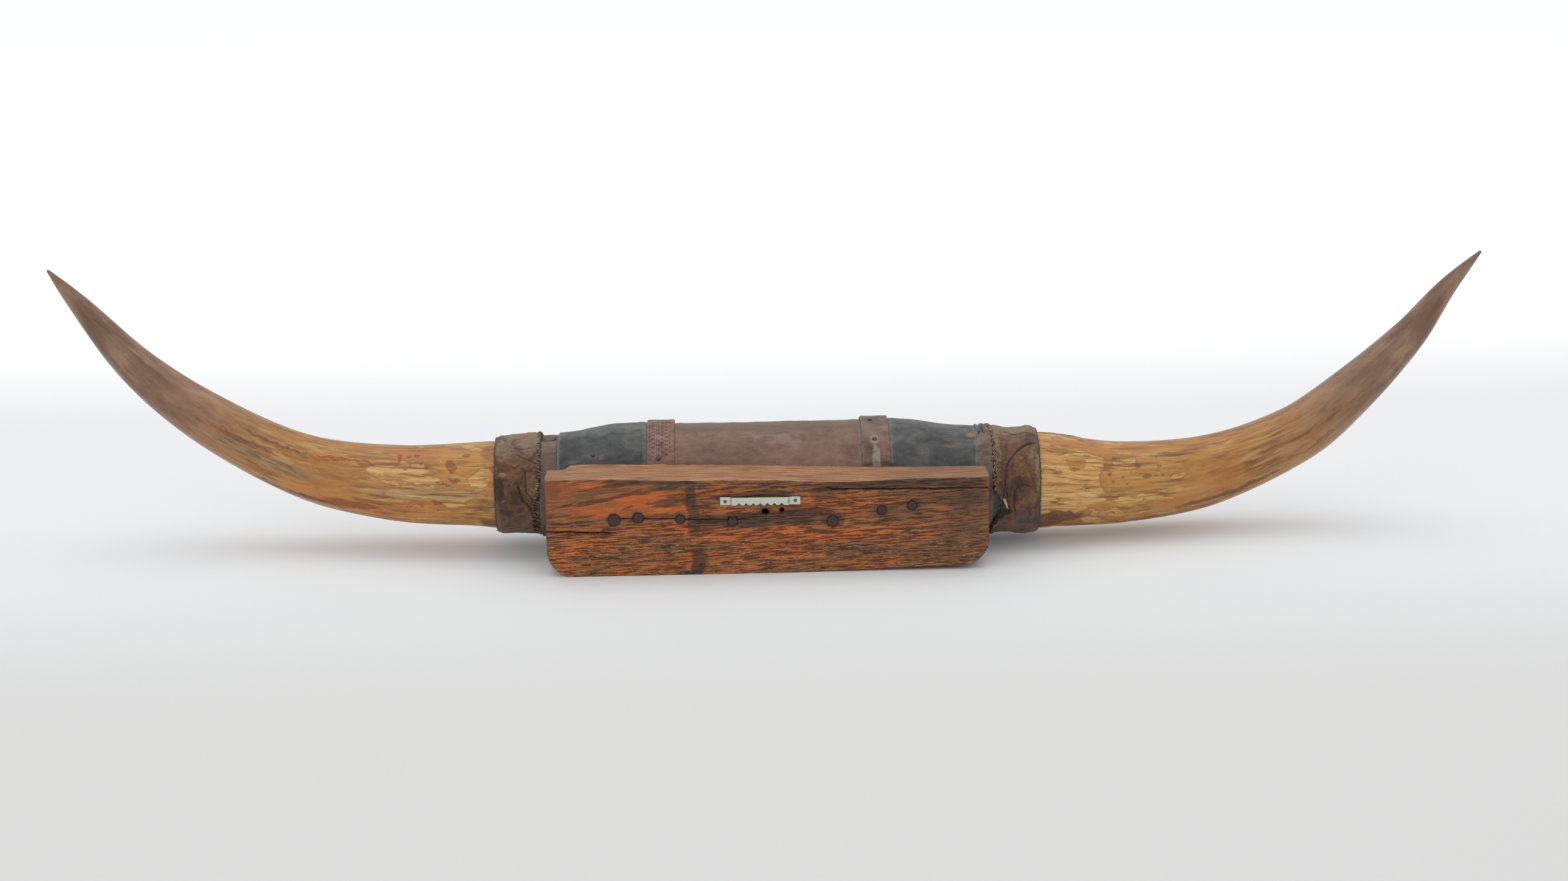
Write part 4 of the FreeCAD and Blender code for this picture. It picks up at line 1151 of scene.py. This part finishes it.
# %% Make the straps
# Painted shade: the straps' stamps, cracks, pits, grooves and fold gaps are painted dark brown.
STRAP_RECESS_SHADE = (("worked", tone(38, 28, 25)),)
tooled = leather("tooled_leather", tone(84, 56, 48), tone(122, 88, 76), tone(154, 122, 108),
                 tone(176, 158, 146),
                 rough=0.55, warm=tone(150, 104, 84), grain=0.4, stains_and_shade=STRAP_RECESS_SHADE)
plain = leather("plain_strap_leather", tone(80, 60, 54), tone(112, 86, 76), tone(138, 114, 102),
                tone(176, 164, 150),
                rough=0.55, warm=tone(150, 100, 82), stains_and_shade=STRAP_RECESS_SHADE)
mauve = leather("end_strap_leather", tone(86, 67, 60), tone(112, 90, 81), tone(136, 118, 107),
                tone(164, 153, 142),
                rough=0.6, warm=tone(128, 92, 76), stains_and_shade=STRAP_RECESS_SHADE)
for which, finish, slot in (("left", tooled, "tooled_strap"), ("right", plain, "plain_strap")):
    x = STRAP_X[which]
    strap = skin_tube(x - STRAP_WIDTH / 2, x + STRAP_WIDTH / 2, STRAP_FACE, wide_strap_shape(which),
                      ("worked", "dust", "warm"), limit=ROLL_FACE_Y + 0.05)
    finish_piece(strap, f"wide_strap_{which}", finish, [f"strap_{which}"], wall=STRAP_WALL)
for which in ("left", "right"):
    start, side = END_STRAP_X[which], SIDE[which]
    strap = skin_tube(side * start, side * CUFF_X, 0.9, end_strap_shape(which), ("worked", "dust", "warm"))
    finish_piece(strap, f"narrow_strap_{which}", mauve, [f"end_strap_{which}"],
                 wall=NARROW_STRAP_WALL)

# %% [markdown]
# ## The hide cuffs and their stitching
#
# Each cuff is a band of rawhide, wetted, wrapped over the end of the sleeve and the base of the horn, and
# sewn along its inner edge with whip stitches. It dried with creases, lapped seams and ragged edges, and the
# right one has torn open low on its inner side. The creases are bent lines given as (distance from the inner
# edge, angle): the skin drops into a groove along each, and one side of it stands higher, as a lap does.

# %% Cuff sizes and marks
CUFF = {"left": dict(radius=50.0, width=44.5, lift=2.5), "right": dict(radius=53.2, width=47.0, lift=-2.5)}
CUFF_WALL = 2.4
CREASES = {  # each: points (mm from the inner edge, degrees), groove depth, height of the lap
    "left": ((((23, 50), (16.4, 46), (8, 41), (0.5, 36)), 0.9, 0.6),
             (((21, 12), (19, 3), (16.4, -4), (9.3, -14), (7, -32), (6, -60)), 1.5, 0.9),
             (((13.5, 29), (13.2, 18), (13, 6), (9.3, 0), (5, -7)), 0.8, -0.7),
             (((40, 86), (26, 78), (12, 88), (1, 96)), 1.3, 1.2),
             (((30, 62), (18, 58), (4, 60)), 0.7, 0.5)),
    "right": ((((42.4, 57), (34.5, 55), (27.5, 50.6), (22, 44), (15, 34), (11.8, 25), (11, 12), (13, -2),
                (15, -17)),
               1.5, -1.0),
              (((35.5, 7), (29, 9), (23.5, 7), (20.8, 0.7), (20, -13), (22, -26)), 1.1, 0.7),
              (((13, 80), (22, 72), (34, 76), (44, 70)), 0.6, 0.4)),
}
CREASES_BEHIND = ((((4, 150), (18, 162), (30, 158), (42, 170)), 1.1, 0.7),
                  (((8, -120), (20, -112), (40, -126)), 1.0, 0.6))
CUFF_LIGHT = {
    "left": ((10, 66, 12, 14, 0.7), (34, 60, 10, 16, 0.6), (36, 26, 4, 2.5, 1.0), (38, 44, 3, 2, 0.7),
             (37, -5, 3, 2, 0.8), (8, 18, 5, 12, 0.5), (20, 96, 22, 20, 0.8), (24, 38, 3, 1.5, 0.6)),
    "right": ((40, 40, 6, 14, 0.6), (20, 86, 26, 14, 0.6), (28, 39, 3, 2, 0.8), (4, 45, 5, 40, 0.5),
              (44, 20, 3, 20, 0.5)),
}
CUFF_WARM = {
    "left": ((26, 34, 12, 18, 0.6), (20, -35, 14, 10, 0.5), (30, -22, 10, 8, 0.4)),
    "right": ((14, 52, 9, 18, 0.9), (33, 32, 8, 18, 0.8), (12, -34, 12, 7, 0.9), (17, -8, 3, 12, 0.9),
              (28, -14, 10, 8, 0.6)),
}
# Painted shade on the right cuff: the first four dark marks darken the torn, sunken hollow, (44, -30) the
# outer edge and (11, 4) the long crease; the other dark marks are dark patches of hide.
CUFF_DARK = {
    "left": ((40, 8, 6, 16, 0.8), (34, -18, 8, 8, 0.5), (22, -2, 8, 10, 0.5), (22, -32, 8, 7, 0.5)),
    "right": ((12, -22, 6.0, 4.0, 1.8), (6, -28, 5, 5, 1.8), (2.5, -36, 2.4, 8, 1.6), (11, -12, 2.4, 6, 1.6),
              (44, -30, 3, 30, 0.7), (26, 12, 9, 7, 0.6),
              (11, 4, 1.6, 12, 0.8), (35, -38, 12, 6, 0.5)),
}
TEAR = ((10.5, -6.5), (12, -11), (14.6, -18.5))
INNER_EDGE = {  # degrees, how far the inner edge has drawn back
    "left": ((-180, 0.5), (-75, 1.0), (-55, 5.5), (-30, 6.5), (-8, 5.0), (2, 0.8), (60, 0.0), (180, 0.5)),
    "right": ((-180, 0.0), (-60, 0.0), (-46, 0.2), (-32, 4.0), (-22, 8.0), (-12, 7.6), (-3, 5.5), (6, 1.0),
              (180, 0.0)),
}


# %% Cuff shape
def cuff_point(which, out, degrees, radius):
    """A point of the cuff, from its distance outwards from the inner edge, its angle and its radius."""
    angle = math.radians(degrees)
    lift = CUFF[which]["lift"]
    return Vector((SIDE[which] * (CUFF_X + out), ROLL_Y - radius * math.cos(angle),
                   ROLL_Z + lift + radius * math.sin(angle)))


def cuff_radius(which, out, degrees, kinds=None):
    size = CUFF[which]
    round_mm = size["radius"] * math.pi / 180
    arc = degrees * round_mm
    turn = math.radians(degrees)
    place = (out + 5, size["radius"] * math.cos(turn), size["radius"] * math.sin(turn))
    radius = size["radius"] - 0.6 - 1.0 * out / size["width"]
    radius += 0.9 * lumps(place, (16, 18, 18), 41 + SIDE[which], 2) + 0.25 * lumps(place, (4, 4, 4), 43, 2)
    groove = 0.0
    for line, depth, lap in CREASES[which] + CREASES_BEHIND:
        away, side = off_line(out, arc, [(a, d * round_mm) for a, d in line])
        cut = math.exp(-((away / 0.9) ** 2))
        radius += max(0.0, side * lap) * (1 - ease(away, 0.6, 6.0)) - depth * cut
        groove = max(groove, cut)
    crest = ease(degrees, 50, 85) * (1 - ease(degrees, 105, 140))
    if which == "right":
        radius += crest * (1.4 * math.exp(-((out - 6) / 6) ** 2) + 1.6 * math.exp(-((out - 38) / 6) ** 2)
                           - 0.6)
        radius -= 2.4 * min(1.0, marks(out, degrees,
                                       ((12, -22, 5.5, 4, 1.0), (6, -28, 4, 4, 0.8), (3, -34, 2, 6, 0.8))))
        strip, _ = off_line(out, arc, [(a, d * round_mm) for a, d in TEAR])
        taper = 1 - 0.6 * ease(-degrees, 9, 19)
        cream = 1 - ease(strip, 0.8 * taper, 1.5 * taper)
        radius += 0.5 * cream
        radius += 1.6 * marks(out, degrees, ((36, -78, 14, 16, 1.0),))
    else:
        radius += crest * 1.3 * math.exp(-((out - 8) / 10) ** 2)
        cream = 0.0
    radius -= 1.6 * ease(out, size["width"] - 5, size["width"] - 0.5)
    if kinds is not None:
        # painted shade: how near a crease's groove the point is, painted dark by the finish
        kinds["groove"] = groove
        kinds["light"] = marks(out, degrees, CUFF_LIGHT[which]) + 0.25 * crest
        kinds["warm"] = marks(out, degrees, CUFF_WARM[which])
        kinds["dark"] = marks(out, degrees, CUFF_DARK[which]) * (1 - cream)
        # painted shade: a dark line along the outer edge, where the cuff dips to the horn
        kinds["dark"] += 0.8 * (1 - ease(size["width"] - out, 0.3, 2.2))
        if which == "right":  # painted shade along the inner edge, where the cuff meets the strap among the stitches
            kinds["dark"] += 0.8 * (1 - ease(out, 1.2, 3.4)) * ease(degrees, 2, 10)
        kinds["cream"] = cream
    return radius


def make_cuff(which, finish):
    size, rings, around = CUFF[which], 48, 340
    bm = straight_tube(rings, around)
    names = ("groove", "light", "warm", "dark", "cream")
    layers = {name: bm.verts.layers.float.new(name) for name in names}
    for v in bm.verts:
        share, degrees = v.co.z + 0.5, math.degrees(math.atan2(v.co.y, v.co.x))
        ragged_in = between(INNER_EDGE[which], degrees) + 0.5 * lumps((0, degrees, 0), (1, 2.2, 1), 44, 3)
        ragged_out = (0.7 * lumps((9, degrees, 0), (1, 3.0, 1), 45, 3)
                      + 0.5 * lumps((9, degrees, 0), (1, 14, 1), 46, 1))
        out = ragged_in + (size["width"] + ragged_out - ragged_in) * share
        kinds = {}
        radius = cuff_radius(which, out, degrees, kinds)
        v.co = cuff_point(which, out, degrees, radius)
        for name, layer in layers.items():
            v[layer] = kinds[name]
    axis = Vector((0, ROLL_Y, ROLL_Z + size["lift"]))
    point_outwards(bm, lambda p: p - Vector((p.x, axis.y, axis.z)))
    return finish_piece(bm, f"hide_band_{which}", finish, [f"hide_cuff_{which}"], wall=CUFF_WALL)


def hide_finish():
    f = Finish("rawhide")
    cloud = f.noise((16, 16, 16), seed=1, detail=4, rough=0.6, warp=0.6)
    blotch = f.noise((4.5, 4.5, 4.5), seed=2, detail=3, rough=0.6)
    hair = f.noise((3.2, 0.7, 0.45), slant=24, seed=3, detail=3, rough=0.7)
    nap = f.noise(0.8, seed=4, detail=3, rough=0.7)
    flecks = f.noise((1.7, 1.7, 1.7), seed=5, detail=2)
    value = f.sum(f.times(cloud, 0.6), f.times(blotch, 0.4))
    value = f.sum(value, f.times(f.sum(hair, -0.5), 0.45))
    colour = f.ramp(value, (0.34, tone(54, 36, 25)), (0.47, tone(94, 63, 41)), (0.58, tone(122, 85, 55)),
                    (0.72, tone(152, 120, 86)))
    wobble = f.times(f.sum(blotch, -0.5), 1.4)
    colour = f.mix(f.times(f.band(f.sum(f.stored("warm"), wobble), 0.1, 0.9), 0.7), colour,
                   f.ramp(value, (0.4, tone(96, 58, 34)), (0.65, tone(142, 92, 54))))
    colour = f.mix(f.times(f.band(f.sum(f.stored("light"), wobble), 0.1, 0.9), 0.7), colour,
                   f.ramp(hair, (0.35, tone(116, 94, 70)), (0.65, tone(176, 150, 114))))
    colour = f.mix(f.band(flecks, 0.68, 0.74, 0.0, 0.7), colour, tone(178, 146, 100))
    # dark marks, with painted shade in the tear, along the outer edge and at the stitches
    colour = f.mix(f.times(f.band(f.sum(f.stored("dark"), f.times(wobble, 0.6)), 0.15, 0.9), 0.85), colour,
                   tone(38, 26, 20))
    # painted shade: the creases' grooves are painted dark brown
    colour = f.mix(f.times(f.band(f.stored("groove"), 0.2, 0.9), 0.7), colour, tone(36, 25, 19))
    colour = f.mix(f.band(f.stored("cream"), 0.3, 0.7), colour, tone(222, 204, 160))
    normal = f.bump(hair, 0.7)
    normal = f.bump(nap, 0.35, normal)
    normal = f.bump(blotch, 0.6, normal)
    return f.done(colour, f.band(blotch, 0.35, 0.65, 0.9, 0.72), normal, Specular_IOR_Level=0.25,
                  Sheen_Weight=0.25, Sheen_Roughness=0.6)


rawhide = hide_finish()
for which in ("left", "right"):
    make_cuff(which, rawhide)

# %% [markdown]
# Each whip stitch is one short thread that rises out of the cuff near its edge, goes over the edge at a slant
# and down into the strap. A hundred and more of them are needed, so each has only a few faces. A fixed random
# seed makes some of them loose and some thicker, and leaves some out on the left cuff.

# %% Stitches
STITCH_STEPS, STITCH_SIDES = 4, 5


def plain_thread():
    """A short capped tube along Z, to copy for every stitch."""
    bm = bmesh.new()
    bmesh.ops.create_cone(bm, cap_ends=True, segments=STITCH_SIDES, radius1=1, radius2=1, depth=1)
    edges = [e for e in bm.edges if abs(e.verts[0].co.z - e.verts[1].co.z) > 0.5]
    bmesh.ops.subdivide_edges(bm, edges=edges, cuts=STITCH_STEPS - 1, use_grid_fill=True)
    mesh = bpy.data.meshes.new("plain_thread")
    bm.to_mesh(mesh)
    bm.free()
    return mesh


def lay_thread(bm, template, points, thickness):
    """Copies the plain thread into bm and bends it along as many points as it has rings."""
    bm.from_mesh(template)
    bm.verts.ensure_lookup_table()
    for v in bm.verts[-len(template.vertices):]:
        step = round((v.co.z + 0.5) * STITCH_STEPS)
        ahead = (points[min(step + 1, STITCH_STEPS)] - points[max(step - 1, 0)]).normalized()
        across = ahead.cross(Vector((0.3, 0.5, 0.8))).normalized()
        up = across.cross(ahead)
        thin = thickness * (0.55 if step in (0, STITCH_STEPS) else 1.0)
        v.co = points[step] + (across * v.co.x + up * v.co.y) * thin


def make_stitches(which, finish, pitch_mm=3.0, seed=7):
    rng = random.Random(seed)
    size = CUFF[which]
    strap_radius = END_STRAP_RADIUS[which]
    count = round(2 * math.pi * size["radius"] / pitch_mm)
    template = plain_thread()
    bm = bmesh.new()
    for i in range(count):
        degrees = -180 + 360 * i / count + rng.uniform(-0.5, 0.5)
        drawn_back = between(INNER_EDGE[which], degrees)
        loose = rng.uniform(0, 0.5)
        if which == "right" and -47 < degrees < 2:
            continue
        if which == "left" and rng.random() < 0.25:
            continue
        lean = 4.6 if which == "right" else rng.uniform(-0.5, 1.2)
        stretch = drawn_back + 3.2 + rng.uniform(-0.4, 0.6)
        start = cuff_point(which, stretch, degrees + lean, cuff_radius(which, stretch, degrees) - 0.2)
        over = cuff_point(which, drawn_back + 1.4, degrees + lean * 0.4,
                          cuff_radius(which, drawn_back + 1.4, degrees) + 0.5 + loose)
        lip = cuff_point(which, drawn_back - 0.3, degrees - lean * 0.2,
                         cuff_radius(which, drawn_back, degrees) + 0.2 + loose * 0.5)
        down = round_roll(SIDE[which] * (CUFF_X - 1.6), math.radians(degrees - lean * 0.8),
                          strap_radius - 0.1)
        lay_thread(bm, template, (start, start.lerp(over, 0.6), over, lip, down), rng.uniform(0.5, 0.75))
    bpy.data.meshes.remove(template)
    bmesh.ops.recalc_face_normals(bm, faces=bm.faces)
    return finish_piece(bm, f"whip_stitches_{which}", finish, [f"cuff_lacing_{which}"])


def thread_finish():
    f = Finish("sinew_thread")
    cloud = f.noise(2.5, seed=1, detail=3)
    fibre = f.noise((0.35, 0.35, 1.4), seed=2, detail=2)
    colour = f.ramp(cloud, (0.36, tone(52, 40, 31)), (0.5, tone(118, 98, 76)), (0.66, tone(186, 164, 132)))
    return f.done(colour, f.band(cloud, 0.3, 0.7, 0.75, 0.6), f.bump(fibre, 0.25), Specular_IOR_Level=0.3)


sinew = thread_finish()
for which in ("left", "right"):
    make_stitches(which, sinew)

# %% [markdown]
# ## The sawtooth hanger
#
# The hanger is a strip of plated steel, bent up in the middle, with a row of notches along its lower edge.
# The notches are sharp at the top and the teeth between them are round, because the punch pushed the metal
# down. A grid has its lower edge drawn to that line, its middle is lifted off the board, and Solidify gives
# the sheet.

# %% Hanger
HANGER_X, HANGER_Z, HANGER_LENGTH, HANGER_HEIGHT = -7.0, 72.6, 77.0, 8.0
HANGER_SHEET, HANGER_TAB, HANGER_STEP, HANGER_SLOPE = 0.8, 9.6, 2.2, 2.6
NOTCHES, NOTCH_PITCH, NOTCH_DEPTH = 7, 6.8, 2.4
HANGER_WALL = 0.75


def make_hanger(finish):
    bm = bmesh.new()
    bmesh.ops.create_grid(bm, x_segments=220, y_segments=14, size=0.5)
    tarnish = bm.verts.layers.float.new("tarnish")
    for v in bm.verts:
        along, share = v.co.x * HANGER_LENGTH, v.co.y + 0.5
        low = -HANGER_HEIGHT / 2
        if abs(along) < NOTCHES * NOTCH_PITCH / 2:
            low += NOTCH_DEPTH * (1 - abs(math.cos(math.pi * (along / NOTCH_PITCH + 0.5))))
        corner = min(HANGER_LENGTH / 2 - abs(along), 1.0)
        z = low + (HANGER_HEIGHT / 2 - low) * share
        away = HANGER_LENGTH / 2 - HANGER_TAB - abs(along)
        lift = HANGER_STEP * min(max(away / HANGER_SLOPE, 0.0), 1.0)
        edge = min(z - low, HANGER_HEIGHT / 2 - z, corner)
        dimple = 0.35 * (1 - ease(math.hypot(along - 1.0, (z - 2.2) * 1.2), 0.6, 1.3))
        y = WALL_Y - HANGER_SHEET - lift + 0.18 * (1 - ease(edge, 0.0, 0.5)) + dimple
        v.co = (HANGER_X + along, y, HANGER_Z + z - 0.007 * along)
        v[tarnish] = 0.5 * (1 - ease(edge, 0.0, 0.7)) + (1 - ease(abs(away - HANGER_SLOPE / 2), 0.5,
                                                                  2.2)) * 0.5
    point_outwards(bm, lambda p: Vector((0, -1, 0)))
    return finish_piece(bm, "sawtooth_strip", finish, ["sawtooth_hanger"], wall=HANGER_WALL)


# %% [markdown]
# The metals: zinc-plated steel for the hanger, rusty iron for the big nails, and dull steel for the brads,
# tacks and screws. Rust is rough and not metallic, so noise mixes it with the metal in both.

# %% Metal finishes
def metal(name, clean, dirty, rust_from, rust_to, metallic=0.8, rough=(0.35, 0.7), size=2.5, stored=None):
    f = Finish(name)
    cloud = f.noise(size, seed=1, detail=4, rough=0.65)
    pits = f.noise(size * 0.25, seed=2, detail=3, rough=0.6)
    value = cloud if stored is None else f.sum(cloud, f.times(f.stored(stored), 0.35))
    share = f.band(value, rust_from, rust_to)
    colour = f.mix(share, clean, dirty)
    colour = f.mix(f.band(pits, 0.58, 0.7, 0.0, 0.4), colour, dirty)
    f.feed(f.shader.inputs["Metallic"], f.band(share, 0.0, 1.0, metallic, 0.0))
    return f.done(colour, f.band(share, 0.0, 1.0, *rough), f.bump(pits, 0.12 * size))


plated = metal("plated_steel", tone(206, 208, 196), tone(150, 150, 134), 0.55, 0.8, 0.25, (0.4, 0.6), 3.0,
               "tarnish")
rusty_iron = metal("rusty_iron", tone(74, 60, 58), tone(58, 40, 34), 0.35, 0.65, 0.45, (0.5, 0.8), 2.2)
dull_steel = metal("dull_steel", tone(112, 108, 104), tone(74, 62, 54), 0.4, 0.7, 0.7, (0.4, 0.7), 1.5)
dark_tack = metal("tack_steel", tone(92, 86, 80), tone(58, 46, 40), 0.4, 0.7, 0.5, (0.45, 0.75), 1.5)
make_hanger(plated)

# %% [markdown]
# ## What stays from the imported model
#
# The nails, brads, tacks, screws, plugs, core and padding already have their true shape, so they keep it and
# only get a finish. The last four groups are hidden inside, and still get wood, wadding and steel.

# %% Hidden wood and wadding
def inner_wood():
    f = Finish("core_pine")
    grain = f.noise((60, 4, 4), seed=1, detail=4, warp=0.4)
    fibre = f.noise((12, 0.8, 0.8), seed=2)
    colour = f.ramp(grain, (0.35, tone(150, 112, 74)), (0.5, tone(190, 152, 106)),
                    (0.65, tone(212, 178, 132)))
    return f.done(colour, f.band(fibre, 0.3, 0.7, 0.75, 0.6), f.bump(fibre, 0.3))


def wadding():
    f = Finish("wool_wadding")
    cloud = f.noise(12, seed=1, detail=4)
    fluff = f.noise(1.6, seed=2, detail=4, rough=0.7)
    colour = f.ramp(cloud, (0.35, tone(196, 184, 158)), (0.65, tone(224, 216, 196)))
    return f.done(colour, f.band(fluff, 0.3, 0.7, 0.95, 0.85), f.bump(fluff, 0.8))


pine, wool = inner_wood(), wadding()
KEPT = {
    "board_nails": rusty_iron, "hanger_brads": dull_steel, "strap_tacks": dark_tack,
    "horn_nails_left": dull_steel, "horn_nails_right": dull_steel, "plug_screw_left": dull_steel,
    "plug_screw_right": dull_steel, "core_beam": pine, "horn_plug_left": pine, "horn_plug_right": pine,
    "roll_padding": wool,
}
for name, finish in KEPT.items():
    for slot in nodes[name].material_slots:
        slot.material = finish
print("kept from the packed model:", ", ".join(KEPT))
